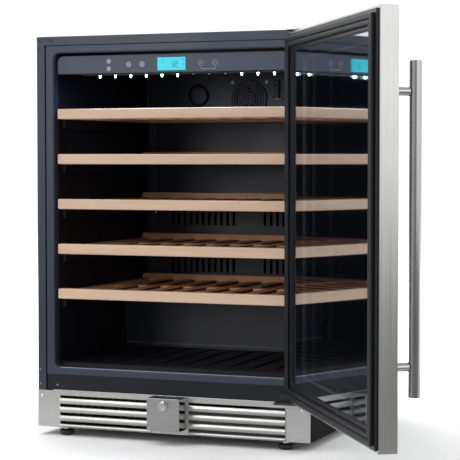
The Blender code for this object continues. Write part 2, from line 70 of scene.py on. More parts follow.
def whereClosed(node):  # the same for a door node, with the door shut
    back = (swing @ toRow).inverted()
    spots = [back @ v.co for v in frame["nodes"][node].data.vertices]
    return [Vector([pick(s[i] for s in spots) for i in range(3)]) for pick in (min, max)]


# ---- node sums ----
class Wire:  # a node socket that takes part in Python arithmetic
    def __init__(self, tree, socket=None):
        self.tree = tree
        self.socket = socket

    def node(self, kind, settings=None, sockets=None, output=0):
        made = self.tree.nodes.new(kind)
        for name, value in (settings or {}).items():
            setattr(made, name, value)
        for name, value in (sockets or {}).items():
            if isinstance(value, Wire):
                self.tree.links.new(value.socket, made.inputs[name])
            else:
                made.inputs[name].default_value = value
        return Wire(self.tree, made.outputs[output])

    def sum(self, operation, *values):
        return self.node("ShaderNodeMath", {"operation": operation}, dict(enumerate(values)))

    def __add__(self, other):
        return self.sum("ADD", self, other)

    def __sub__(self, other):
        return self.sum("SUBTRACT", self, other)

    def __rsub__(self, other):
        return self.sum("SUBTRACT", other, self)

    def __mul__(self, other):
        return self.sum("MULTIPLY", self, other)

    __radd__ = __add__
    __rmul__ = __mul__

    def between(self, low, high, toLow=0.0, toHigh=1.0):
        return self.node("ShaderNodeMapRange", {}, {
            "Value": self, "From Min": low, "From Max": high, "To Min": toLow, "To Max": toHigh})

    def blend(self, first, second):  # this socket is the factor between two colours
        return self.node("ShaderNodeMix", {"data_type": "RGBA"}, {0: self, 6: first, 7: second}, 2)

    def stretched(self, scale, turn=(0, 0, 0)):
        return self.node("ShaderNodeMapping", {}, {
            "Vector": self, "Scale": scale, "Rotation": turn})

    def noise(self, scale, detail=2.0, roughness=0.5, distortion=0.0):
        return self.node("ShaderNodeTexNoise", {}, {
            "Vector": self, "Scale": scale, "Detail": detail,
            "Roughness": roughness, "Distortion": distortion})

    def bump(self, strength, distance):
        return self.node("ShaderNodeBump", {}, {
            "Height": self, "Strength": strength, "Distance": distance})


class Finish:  # one material, its shader and its object coordinates
    def __init__(self, name, fixed=None):
        self.material = bpy.data.materials.new(name)
        self.material.use_nodes = True
        self.tree = self.material.node_tree
        self.shader = self.tree.nodes["Principled BSDF"]
        for socket, value in (fixed or {}).items():
            self.shader.inputs[socket].default_value = value
        self.spots = Wire(self.tree).node("ShaderNodeTexCoord", {}, {}, "Object")

    def feed(self, **wires):
        names = {"color": "Base Color", "roughness": "Roughness", "normal": "Normal",
                 "glow": "Emission Color"}
        for name, wire in wires.items():
            self.tree.links.new(wire.socket, self.shader.inputs[names[name]])
        return self.material


# ---- finishes ----
def grained(color, share):  # a colour times a share, with its alpha
    return (*[c * share for c in color], 1)


# Powder coat and moulded plastic: a colour that drifts a little, with a fine pebbled skin.
def mouldedFinish(name, color, roughness, pebble=700, depth=0.00004, drift=0.12, fixed=None,
        gloss=None):
    finish = Finish(name, fixed)
    if gloss is not None:
        finish.shader.inputs["Specular IOR Level"].default_value = gloss
    cloud = finish.spots.noise(7, 3)
    skin = finish.spots.noise(pebble, 2, 0.6)
    return finish.feed(
        color=cloud.blend(grained(color, 1 - drift), grained(color, 1 + drift)),
        roughness=cloud.between(0.3, 0.7, roughness - 0.04, roughness + 0.05),
        normal=skin.bump(0.35, depth),
    )


# Steel brushed along one axis; turn lines the axis up with the open door.
def brushedFinish(name, along, color=(0.62, 0.615, 0.6), roughness=0.26, turn=0.0, depth=0.00005):
    finish = Finish(name, {"Metallic": 1.0})
    fine = [900.0, 900.0, 900.0]
    broad = [160.0, 160.0, 160.0]
    fine["xyz".index(along)] = 9.0
    broad["xyz".index(along)] = 1.6
    lined = finish.spots.stretched((1, 1, 1), (0, 0, turn))
    hair = lined.stretched(fine).noise(1, 2, 0.6)
    band = lined.stretched(broad).noise(1, 3, 0.55)
    smudge = finish.spots.noise(9, 3, 0.55)
    shade = band.between(0.3, 0.7) * 0.6 + smudge.between(0.35, 0.65) * 0.4
    return finish.feed(
        color=shade.blend(grained(color, 0.93), grained(color, 1.05)),
        roughness=(hair * 0.5 + band * 0.5).between(0.3, 0.7, roughness - 0.05, roughness + 0.08),
        normal=hair.bump(0.3, depth),
    )


# Pale beech: long soft bands, fine pores and the short dark flecks of the ray cells.
def beechFinish(name, along, light=(0.73, 0.525, 0.385), dark=(0.6, 0.395, 0.265)):
    finish = Finish(name)
    axis = "xyz".index(along)

    def grainScale(across, lengthwise):
        scale = [across] * 3
        scale[axis] = lengthwise
        return tuple(scale)

    bands = finish.spots.stretched(grainScale(42, 2.2)).noise(1, 4, 0.6, 0.6)
    pores = finish.spots.stretched(grainScale(620, 22)).noise(1, 3, 0.65)
    flecks = finish.spots.stretched(grainScale(420, 95)).noise(1, 2, 0.5)
    fleckMask = flecks.between(0.66, 0.74) * 0.45
    tone = bands.between(0.3, 0.72) * 0.75 + pores.between(0.3, 0.7) * 0.25
    wood = tone.blend((*light, 1), (*dark, 1))
    return finish.feed(
        color=fleckMask.blend(wood, (dark[0] * 0.72, dark[1] * 0.66, dark[2] * 0.6, 1)),
        roughness=pores.between(0.3, 0.7, 0.46, 0.6),
        normal=(pores * 0.7 + bands * 0.3).bump(0.35, 0.00012),
    )


# Tinted panes: a dark body seen through square on, a mirror at a glancing angle.
def paneFinish(name, tint, mirror, cover, glancing):
    finish = Finish(name, {"Roughness": 0.04, "Metallic": 1.0})
    finish.feed(color=finish.spots.noise(3, 1).blend(grained(mirror, 0.985), (*mirror, 1)))
    start = Wire(finish.tree)
    body = start.node("ShaderNodeBsdfPrincipled", {}, {
        "Base Color": (*tint, 1), "Roughness": 0.03, "Alpha": cover, "IOR": 1.5})
    glance = start.node("ShaderNodeLayerWeight", {}, {"Blend": 0.5}, "Facing")
    share = glance.between(0.15, 0.72, 0.12, glancing)
    joined = start.node("ShaderNodeMixShader", {}, {
        0: share, 1: body, 2: Wire(finish.tree, finish.shader.outputs[0])})
    output = finish.tree.nodes["Material Output"]
    finish.tree.links.new(joined.socket, output.inputs["Surface"])
    return finish.material


def glowFinish(name, color, strength, body=(0.02, 0.02, 0.02), sheen=0.5):
    finish = Finish(name, {"Base Color": (*body, 1), "Roughness": 0.3, "Specular IOR Level": sheen,
        "Emission Strength": strength})
    wash = finish.spots.noise(60, 1)
    return finish.feed(glow=wash.blend(grained(color, 0.94), (*color, 1)))


finishes = {
    "slate": mouldedFinish("slatePowderCoat", (0.029, 0.034, 0.053), 0.36, 1400, 0.00003,
                           fixed={"Specular Tint": (0.84, 0.91, 1, 1)}, gloss=0.42),
    # Near black for the side panels' side faces: painted shade on the same slate sheet.
    "sideBlack": mouldedFinish("sidePanelBlack", (0.006, 0.006, 0.007), 0.6, 900, 0.00003,
                               gloss=0.03),
    "sill": mouldedFinish("blackSill", (0.01, 0.011, 0.016), 0.45, 900, 0.00003, gloss=0.2),
    "plug": mouldedFinish("cornerPlugBlack", (0.004, 0.005, 0.008), 0.3, 900, 0.00001),
    "liner": mouldedFinish("linerPlastic", (0.027, 0.03, 0.047), 0.42, 500, 0.00005),
    # A darker copy of the liner plastic for the walls, ceiling, floor and lamp strip: painted shade
    # against the lighter liner on faces that look forward.
    "linerDark": mouldedFinish("linerPlasticDeep", (0.005, 0.006, 0.011), 0.46, 500, 0.00005,
                               gloss=0.3),
    "panel": mouldedFinish("controlPanelPlastic", (0.064, 0.077, 0.11), 0.42, 1200, 0.00003,
                           gloss=0.3),
    "steelUp": brushedFinish("brushedSteelUpright", "z", roughness=0.2, depth=0.00003),
    "steelAcross": brushedFinish("brushedSteelAcross", "x", (0.46, 0.455, 0.445), 0.3,
                                 depth=0.00002),
    "steelLock": brushedFinish("brushedLockSteel", "x", (0.32, 0.317, 0.312), 0.28, depth=0.00002),
    # Brighter, glossier steel for the lock box's side faces: painted reflection.
    "steelBright": brushedFinish("brightSteelReturn", "z", (0.6, 0.595, 0.585), 0.09,
                                 depth=0.00001),
    "steelRail": brushedFinish("brushedSteelDoorRail", "x", turn=-doorOpen),
    "steelSmooth": brushedFinish("satinSteelTube", "z", (0.45, 0.445, 0.435), 0.15),
    "chrome": mouldedFinish("polishedSteel", (0.6, 0.6, 0.6), 0.15, 900, 0.00001, 0.04,
                            {"Metallic": 1.0}),
    "beechAcross": beechFinish("beechBoard", "x"),
    "beechDeep": beechFinish("beechSlat", "y", (0.8, 0.44, 0.25), (0.62, 0.31, 0.16)),
    "beechRail": beechFinish("beechRail", "x", (0.86, 0.47, 0.265), (0.68, 0.345, 0.18)),
    # Dark brown for the slats' sides: painted shade in the gaps between the slats.
    "slatShade": beechFinish("beechSawnSide", "y", (0.105, 0.05, 0.028), (0.075, 0.034, 0.018)),
    "gasket": mouldedFinish("gasketRubber", (0.011, 0.012, 0.016), 0.42, 800, 0.00004, gloss=0.26),
    "doorBlack": mouldedFinish("doorLinerPlastic", (0.008, 0.008, 0.011), 0.36, 800, 0.00003),
    "mirrorGlass": paneFinish("innerPane", (0.016, 0.022, 0.036), (0.86, 0.9, 0.96), 0.2, 0.62),
    "darkGlass": paneFinish("outerPane", (0.01, 0.01, 0.012), (0.6, 0.62, 0.66), 0.9, 0.55),
    "led": glowFinish("lampLit", (0.62, 0.93, 1.0), 12.0),
    "ledOff": mouldedFinish("lampLens", (0.45, 0.48, 0.52), 0.18, 600, 0.00001),
    "screen": glowFinish("displayLit", (0.052, 0.73, 0.88), 0.95, sheen=0.15),
    "digit": mouldedFinish("displayDigit", (0.02, 0.11, 0.17), 0.4),
    "print": mouldedFinish("printedMarks", (0.5, 0.51, 0.55), 0.5),
    # Near white for the rear screws and the pane's spacer strip: painted glints and painted
    # reflection.
    "screwBright": mouldedFinish("zincScrew", (0.92, 0.92, 0.94), 0.22, 900, 0.00001),
    "keyFace": mouldedFinish("keyCap", (0.3, 0.31, 0.35), 0.38),
    # Grey for the flange screws and for the painted highlight rod along the opening's lip.
    "sensor": mouldedFinish("sensorPlastic", (0.3, 0.31, 0.34), 0.45),
    # Pale grey for the fan grille rings and for the painted highlight rods in the liner's corners.
    "bead": mouldedFinish("linerBead", (0.11, 0.115, 0.14), 0.35, 600, 0.00002),
    "rubber": mouldedFinish("footRubber", (0.012, 0.012, 0.013), 0.52),
    "foam": mouldedFinish("pouredFoam", (0.78, 0.68, 0.42), 0.9, 300, 0.0003),
    "aluminium": brushedFinish("milledAluminium", "z", (0.72, 0.73, 0.74), 0.35),
    # Black for a sheet behind the duct slots: painted shadow.
    "void": mouldedFinish("unlitPlastic", (0.001, 0.001, 0.001), 0.9, gloss=0.0),
    "black": mouldedFinish("blackPaint", (0.01, 0.01, 0.011), 0.45),
}
print("finishes made")


# ---- shapes ----
def roundOff(bm, geom, width, segments=2, affect="EDGES"):
    bmesh.ops.bevel(bm, geom=geom, offset=width, offset_type="OFFSET", segments=segments,
        profile=0.5, affect=affect, material=-1)


def moveNew(bm, grown, way):  # moves the corners that an extrusion made
    corners = [g for g in grown["geom"] if isinstance(g, bmesh.types.BMVert)]
    bmesh.ops.translate(bm, vec=way, verts=corners)


def boxShape(low, high, soft=0.0, segments=2):
    bm = bmesh.new()
    low, high = Vector(low), Vector(high)
    bmesh.ops.create_cube(bm, size=1)
    bmesh.ops.scale(bm, vec=high - low, verts=bm.verts)
    bmesh.ops.translate(bm, vec=(low + high) / 2, verts=bm.verts)
    if soft:
        roundOff(bm, bm.edges[:], soft, segments)
    return bm


def softenSharp(bm, width, segments=2, chosen=None):
    sharp = [e for e in bm.edges if len(e.link_faces) == 2
        and e.calc_face_angle(0) > math.radians(40) and (chosen is None or chosen(e))]
    roundOff(bm, sharp, width, segments)
    return bm


def rodShape(start, end, radius, sides=32, soft=0.0):
    bm = bmesh.new()
    start, end = Vector(start), Vector(end)
    along = end - start
    bmesh.ops.create_cone(bm, cap_ends=True, segments=sides, radius1=radius, radius2=radius,
        depth=along.length)
    if soft:
        softenSharp(bm, soft)
    turn = Vector((0, 0, 1)).rotation_difference(along).to_matrix().to_4x4()
    bm.transform(Matrix.Translation((start + end) / 2) @ turn)
    return bm


# A profile of (radius, distance) points spun about the axis that starts at start.
def turnedShape(profile, start, axis, steps=40):
    bm = bmesh.new()
    spots = [bm.verts.new((radius, 0, along)) for radius, along in profile]
    edges = [bm.edges.new(pair) for pair in zip(spots, spots[1:])]
    bmesh.ops.spin(bm, geom=spots + edges, cent=(0, 0, 0), axis=(0, 0, 1), dvec=(0, 0, 0),
        angle=2 * math.pi, steps=steps, use_merge=True, use_duplicate=False)
    bmesh.ops.remove_doubles(bm, verts=bm.verts, dist=0.000005)
    bmesh.ops.recalc_face_normals(bm, faces=bm.faces)
    turn = Vector((0, 0, 1)).rotation_difference(Vector(axis)).to_matrix().to_4x4()
    bm.transform(Matrix.Translation(Vector(start)) @ turn)
    return bm


def ringProfile(inner, outer, low, high, soft):
    return [(inner, low + soft), (inner + soft, low), (outer - soft, low), (outer, low + soft),
        (outer, high - soft), (outer - soft, high), (inner + soft, high), (inner, high - soft),
        (inner, low + soft)]


# A rounded rectangle in the XZ plane at y, as a face in bm.
def outlineFace(bm, low, high, y, radius, rounded=None):
    before = set(bm.verts)
    bmesh.ops.create_grid(bm, x_segments=1, y_segments=1, size=0.5)
    spots = [v for v in bm.verts if v not in before]
    bmesh.ops.rotate(bm, verts=spots, cent=(0, 0, 0), matrix=Matrix.Rotation(math.pi / 2, 3, "X"))
    bmesh.ops.scale(bm, vec=(high[0] - low[0], 1, high[1] - low[1]), verts=spots)
    bmesh.ops.translate(bm, vec=((low[0] + high[0]) / 2, y, (low[1] + high[1]) / 2), verts=spots)
    if radius:
        chosen = [v for v in spots if rounded is None or rounded(v)]
        roundOff(bm, chosen, radius, 6, "VERTICES")
    return [f for f in bm.faces if not any(v in before for v in f.verts)][-1]


def grow(bm, faces, depth):
    moveNew(bm, bmesh.ops.extrude_face_region(bm, geom=faces), (0, depth, 0))
    bmesh.ops.recalc_face_normals(bm, faces=bm.faces)


def plateShape(low, high, radius, y0, y1, soft=0.0, segments=2, rounded=None):
    bm = bmesh.new()
    face = outlineFace(bm, low, high, y0, radius, rounded=rounded)
    grow(bm, [face], y1 - y0)
    if soft:
        softenSharp(bm, soft, segments)
    return bm


# A frame round an opening: outer and inner are (low corner, high corner, corner radius).
def frameShape(outer, inner, y0, y1, soft=0.0, segments=2, chosen=None):
    bm = bmesh.new()
    for low, high, radius in (outer, inner):
        outlineFace(bm, low, high, y0, radius)
    bmesh.ops.delete(bm, geom=bm.faces[:], context="FACES_ONLY")
    bridged = bmesh.ops.bridge_loops(bm, edges=bm.edges[:])
    grow(bm, bridged["faces"], y1 - y0)
    if soft:
        softenSharp(bm, soft, segments, chosen)
    return bm


def inset(corners, by, radius):
    (x0, z0), (x1, z1) = corners
    return (x0 + by, z0 + by), (x1 - by, z1 - by), radius


def joinShapes(*shapes):
    whole = bmesh.new()
    for shape in shapes:
        passing = bpy.data.meshes.new("passing")
        shape.to_mesh(passing)
        whole.from_mesh(passing)
        bpy.data.meshes.remove(passing)
        shape.free()
    return whole


def mirroredX(bm):
    bmesh.ops.scale(bm, vec=(-1, 1, 1), verts=bm.verts)
    bmesh.ops.reverse_faces(bm, faces=bm.faces)
    return bm


def sliced(bm, spot, normal):  # keeps the side that the normal points away from
    bmesh.ops.bisect_plane(bm, geom=bm.verts[:] + bm.edges[:] + bm.faces[:], dist=0.000001,
        plane_co=spot, plane_no=normal, clear_outer=True)
    rim = [e for e in bm.edges if e.is_boundary]
    if rim:
        bmesh.ops.holes_fill(bm, edges=rim, sides=0)
    return bm


# A shape less its cutter, worked out by the Boolean modifier.
def carved(shape, cutter):
    objects = []
    for bm in (shape, cutter):
        mesh = bpy.data.meshes.new("passing")
        bm.to_mesh(mesh)
        bm.free()
        made = bpy.data.objects.new("passing", mesh)
        bpy.context.scene.collection.objects.link(made)
        objects.append(made)
    cutting = objects[0].modifiers.new("cut", "BOOLEAN")
    cutting.operation = "DIFFERENCE"
    cutting.object = objects[1]
    bpy.context.view_layer.update()
    result = bpy.data.meshes.new_from_object(
        objects[0].evaluated_get(bpy.context.evaluated_depsgraph_get()))
    bm = bmesh.new()
    bm.from_mesh(result)
    for made in objects:
        mesh = made.data
        bpy.data.objects.remove(made)
        bpy.data.meshes.remove(mesh)
    bpy.data.meshes.remove(result)
    return bm


def placePiece(name, bm, finish, body="cabinet", replaced=()):
    if isinstance(bm, list):
        bm = joinShapes(*bm)
    bm.transform(swing @ toRow if body == "door" else toRow)
    mesh = bpy.data.meshes.new(name)
    bm.to_mesh(mesh)
    bm.free()
    mesh.shade_smooth()
    mesh.set_sharp_from_angle(angle=math.radians(35))
    mesh.materials.append(finishes[finish])
    piece = bpy.data.objects.new(name, mesh)
    bpy.context.scene.collection.objects.link(piece)
    even = piece.modifiers.new("flatFaces",
                               "WEIGHTED_NORMAL")  # keeps wide faces flat to their edges
    even.keep_sharp = True
    even.weight = 100
    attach(piece, body)
    if replaced:
        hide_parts(*replaced)
    return piece


def secondFinish(piece, finish, chosen):  # another finish on the chosen faces
    piece.data.materials.append(finishes[finish])
    for face in piece.data.polygons:
        face.material_index = 1 if chosen(face) else 0


# ---- cabinet skin ----
skin = {"sheet": 0.0012, "flange": 0.0195, "lip": 0.007, "corner": 0.0022, "seam": 0.0002,
        "notchGap": 0.0003, "notchCuts": ((-0.01, 0.0018), (0.0016, 0.012))}


# A sheet bent along a path, pushed out along a direction, with its folds rounded.
def bentSheet(path, push):
    bm = bmesh.new()
    spots = [bm.verts.new(p) for p in path]
    edges = [bm.edges.new(pair) for pair in zip(spots, spots[1:])]
    moveNew(bm, bmesh.ops.extrude_edge_only(bm, edges=edges), push)
    folds = [e for e in bm.edges if len(e.link_faces) == 2]
    roundOff(bm, folds, skin["corner"], 4)
    bmesh.ops.recalc_face_normals(bm, faces=bm.faces)
    return bm


def thickened(bm, inward):
    bmesh.ops.solidify(bm, geom=bm.faces[:], thickness=inward)
    bmesh.ops.recalc_face_normals(bm, faces=bm.faces)
    return bm


def makeSkin():
    kickTop = where("kickplate")[1].z - louvre["rise"]
    panBottom = where("side_panel_left")[0].z
    flange, lip, seam = skin["flange"], skin["lip"], skin["seam"]
    for name, side in (("left", -1), ("right", 1)):
        path = [(halfWidth, cabinetDepth, panBottom), (halfWidth, 0, panBottom),
            (halfWidth - flange, 0, panBottom), (halfWidth - flange, lip, panBottom)]
        bm = thickened(bentSheet(path, (0, 0, cabinetTop - panBottom)), skin["sheet"])
        sliced(bm, (halfWidth, 0, cabinetTop - seam), (-1, 0, 1))
        for edge, depth in skin["notchCuts"]:  # the kickplate's ends fill this notch
            bm = carved(bm, boxShape((halfWidth - flange - 0.002, -0.01, 0),
                (halfWidth - edge, depth, kickTop + skin["notchGap"])))
        if side < 0:
            mirroredX(bm)
        panel = placePiece(f"sidePanel.{name}", bm, "slate", replaced=[f"side_panel_{name}"])
        # The sheet's side faces take the near-black painted shade; its front flange stays slate.
        secondFinish(panel, "sideBlack", lambda face: abs(face.normal.x) > 0.7)
    path = [(-halfWidth, cabinetDepth, cabinetTop), (-halfWidth, 0, cabinetTop),
        (-halfWidth, 0, cabinetTop - flange), (-halfWidth, lip, cabinetTop - flange)]
    bm = thickened(bentSheet(path, (2 * halfWidth, 0, 0)), skin["sheet"])
    for side in (-1, 1):
        sliced(bm, (side * (halfWidth - seam), 0, cabinetTop), (side, 0, -1))
    placePiece("topPanel", bm, "slate", replaced=["top_panel"])


# Plug spots are in from the side and down from the top; screw spots in from the side and up.
fastenings = {"plug": 0.0046, "plugRise": 0.0007, "screw": 0.0019,
              "plugSpots": ((0.0078, 0.0063), (0.034, 0.0063), (0.0078, 0.025)),
              "screwSpots": ((0.0055, 0.1348), (0.0055, 0.105), (0.045, 0.1045))}


def plugShape(x, z):
    radius, rise = fastenings["plug"], fastenings["plugRise"]
    profile = [(0, -0.001), (radius, -0.001), (radius, 0.0), (radius * 0.93, rise * 0.55),
               (radius * 0.7, rise * 0.9), (0, rise)]
    return turnedShape(profile, (x, 0, z), (0, -1, 0), 24)


def screwShape(x, y, z, radius):
    return turnedShape([(0, -0.0008), (radius, -0.0008), (radius, 0.0003), (radius * 0.8, 0.0009),
        (radius * 0.35, 0.0011), (radius * 0.3, 0.0005), (0, 0.0003)], (x, y, z), (0, -1, 0), 20)


def makeFastenings():
    plugs = [plugShape(side * (halfWidth - x), cabinetTop - z)
        for side in (-1, 1) for x, z in fastenings["plugSpots"]]
    placePiece("cornerPlugs", plugs, "plug")
    screws = [screwShape(side * (halfWidth - x), 0.0006, z, fastenings["screw"])
        for side in (-1, 1) for x, z in fastenings["screwSpots"]]
    placePiece("flangeScrews", screws, "sensor")


# ---- front of the cabinet ----
front = {"lipRound": 0.0032, "outerCorner": 0.0015, "openingCorner": 0.0125, "wall": 0.002,
         "openingFoot": 0.141, "lipRod": 0.0007, "sillSoft": 0.0008}


def makeFront():
    low, high = where("liner_flange")
    opening = openingCorners()

    def aroundOpening(edge):  # front edges of the opening, not of the flange's outside
        return (all(abs(v.co.y - low.y) < 0.0001 for v in edge.verts)
            and all(abs(v.co.x) < -low.x - 0.01 and v.co.z < high.z - 0.01
            and v.co.z > low.z + 0.008 for v in edge.verts))

    ring = frameShape(((low.x, low.z), (high.x, high.z), front["outerCorner"]),
        (*opening, front["openingCorner"]), low.y, high.y, front["lipRound"], 4, aroundOpening)
    placePiece("linerFlange", ring, "slate", replaced=["liner_flange"])
    (left, foot), (right, _) = opening
    # A thin grey rod along the opening's lower lip: a painted highlight line.
    rod = [(x, low.y + 0.0004, foot + 0.0002) for x in (left + 0.012, right - 0.012)]
    placePiece("linerFlangeLip", rodShape(*rod, front["lipRod"], 10), "sensor")
    low, high = where("front_sill")
    placePiece("frontSill", boxShape(low, high, front["sillSoft"]), "sill", replaced=["front_sill"])


def openingCorners():
    side = where("liner_left")[0].x + front["wall"]
    return (side, front["openingFoot"]), (-side, where("liner_ceiling")[0].z)


# ---- kickplate ----
louvre = {"inner": 0.041, "outer": 0.2461, "top": 0.0831, "pitch": 0.0179, "gap": 0.005,
          "bulge": 0.0042, "rows": 4, "rise": 0.002, "middle": 0.262, "overlap": 0.0005,
          "screw": 0.0042, "screwHeight": 0.0795, "screwIn": (0.0097, 0.0165)}


# One pressed blade: a bar with a bowed front whose ends die into the plate.
def bladeShape(x0, x1, z0, z1):
    bm = bmesh.new()
    outline = []
    steps = 8
    for step in range(steps + 1):
        angle = math.pi * step / steps
        outline.append((0, 0.0008 - louvre["bulge"] * math.sin(angle) ** 0.8,
            (z0 + z1) / 2 - (z1 - z0) / 2 * math.cos(angle)))
    spots = [bm.verts.new(p) for p in outline]
    face = bm.faces.new(spots)
    bmesh.ops.translate(bm, vec=(x0, 0, 0), verts=bm.verts)
    moveNew(bm, bmesh.ops.extrude_face_region(bm, geom=[face]), (x1 - x0, 0, 0))
    bmesh.ops.recalc_face_normals(bm, faces=bm.faces)
    return bm


def makeKickplate():
    low, high = where("kickplate")
    plate = boxShape(low, high, 0.0004, 1)
    for side in (-1, 1):  # the ends stand a little lower than the middle
        x0, x1 = sorted((side * louvre["middle"], side * (halfWidth + 0.01)))
        plate = carved(plate, boxShape((x0, -0.01, high.z - louvre["rise"]),
            (x1, 0.01, high.z + 0.01)))
    bottom = louvre["top"] - louvre["pitch"] * (louvre["rows"] - 1) - louvre["gap"]
    lap = louvre["overlap"]
    cutters, blades = [], []
    for side in (-1, 1):
        x0, x1 = sorted((side * louvre["inner"], side * louvre["outer"]))
        cutters.append(boxShape((x0, -0.01, bottom), (x1, 0.01, louvre["top"])))
        for row in range(louvre["rows"] - 1):
            top = louvre["top"] - louvre["pitch"] * row - louvre["gap"]
            foot = top - louvre["pitch"] + louvre["gap"]
            blades.append(bladeShape(x0 - lap, x1 + lap, foot, top))
        blades.append(bladeShape(x0 - lap, x1 + lap, low.z + lap, bottom))
    for cutter in cutters:
        plate = carved(plate, cutter)
    placePiece("kickplate", [plate, *blades], "steelAcross", replaced=["kickplate"])
    left, right = louvre["screwIn"]
    screws = [screwShape(x, -0.0002, louvre["screwHeight"], louvre["screw"])
        for x in (-halfWidth + left, halfWidth - right)]
    placePiece("kickplateScrews", screws, "chrome")


# ---- lock ----
# The barrel's profile is (radius, distance behind the box's front); slots are (X, Y) from the axis.
lock = {"wall": 0.0016, "soft": 0.0012, "hole": 0.0084,
        "camSlot": ((-0.008, -0.0235), (0.028, -0.0175)),
        "barrel": [(0, -0.0066), (0.003, -0.0066), (0.0034, -0.006), (0.0052, -0.006),
                   (0.0056, -0.0072), (0.0062, -0.008), (0.0078, -0.008), (0.0086, -0.0072),
                   (0.0086, -0.003), (0.0095, -0.0024), (0.0095, -0.0002), (0.008, -0.0002),
                   (0.008, 0.017), (0, 0.017)],
        "keySlit": (0.0007, 0.003), "cam": (0.0165, 0.02), "camHalf": 0.005}


def makeLock():
    low, high = where("lock_box")
    wall = lock["wall"]
    shell = boxShape(low, high, lock["soft"])
    shell = carved(shell, boxShape((low.x + wall, low.y + wall, low.z + wall),
        (high.x - wall, high.y + 0.01, high.z - wall)))
    spot = where("lock_cylinder")
    height = (spot[0].z + spot[1].z) / 2
    turn = next(joint for joint in frame["joints"] if joint["child"] == "lock_cylinder")
    axis = turn["pos_m"][0] - cabinetSpot.x
    shell = carved(shell, rodShape((axis, low.y - 0.01, height), (axis, low.y + 0.006, height),
        lock["hole"]))
    (x0, y0), (x1, y1) = lock["camSlot"]
    shell = carved(shell, boxShape((axis + x0, y0, high.z - 0.005),
        (axis + x1, y1, high.z + 0.005)))
    box = placePiece("lockBox", shell, "steelLock", replaced=["lock_box"])
    # The box's side faces get the brighter steel as a painted reflection; the box is one steel.
    secondFinish(box, "steelBright", lambda face: abs(face.normal.x) > 0.9)
    barrel = turnedShape(lock["barrel"], (axis, low.y, height), (0, 1, 0), 48)
    slit, tall = lock["keySlit"]
    barrel = carved(barrel, boxShape((axis - slit, low.y - 0.01, height - tall),
        (axis + slit, low.y - 0.003, height + tall)))
    camFront, camBack = lock["cam"]
    half = lock["camHalf"]
    cam = boxShape((axis - half, low.y + camFront, height - half),
        (spot[1].x, low.y + camBack, height + half), 0.0008)
    placePiece("lockCylinder", [barrel, cam], "chrome", "lock_cylinder", ["lock_cylinder"])


# ---- inside of the cabinet ----
inside = {"wall": 0.002, "stepFront": 0.3445, "floorTop": 0.15, "shelves": 5,
          "ledgeSoft": 0.0022, "ledgeHeight": 0.019, "ledgeSpan": (0.03, 0.44),
          "clipRise": 0.0265, "clipHeight": 0.01, "clipSpan": (0.222, 0.246), "clipOut": 0.0045,
          "ribs": 9, "ribStart": -0.2, "ribPitch": 0.05, "ribHalf": 0.006, "ribFront": 0.06,
          "bead": 0.0009, "wallBeads": ((-0.2496, 0.68, 0.778), (-0.24, 0.28, 0.648),
                                        (-0.2325, 0.28, 0.648))}


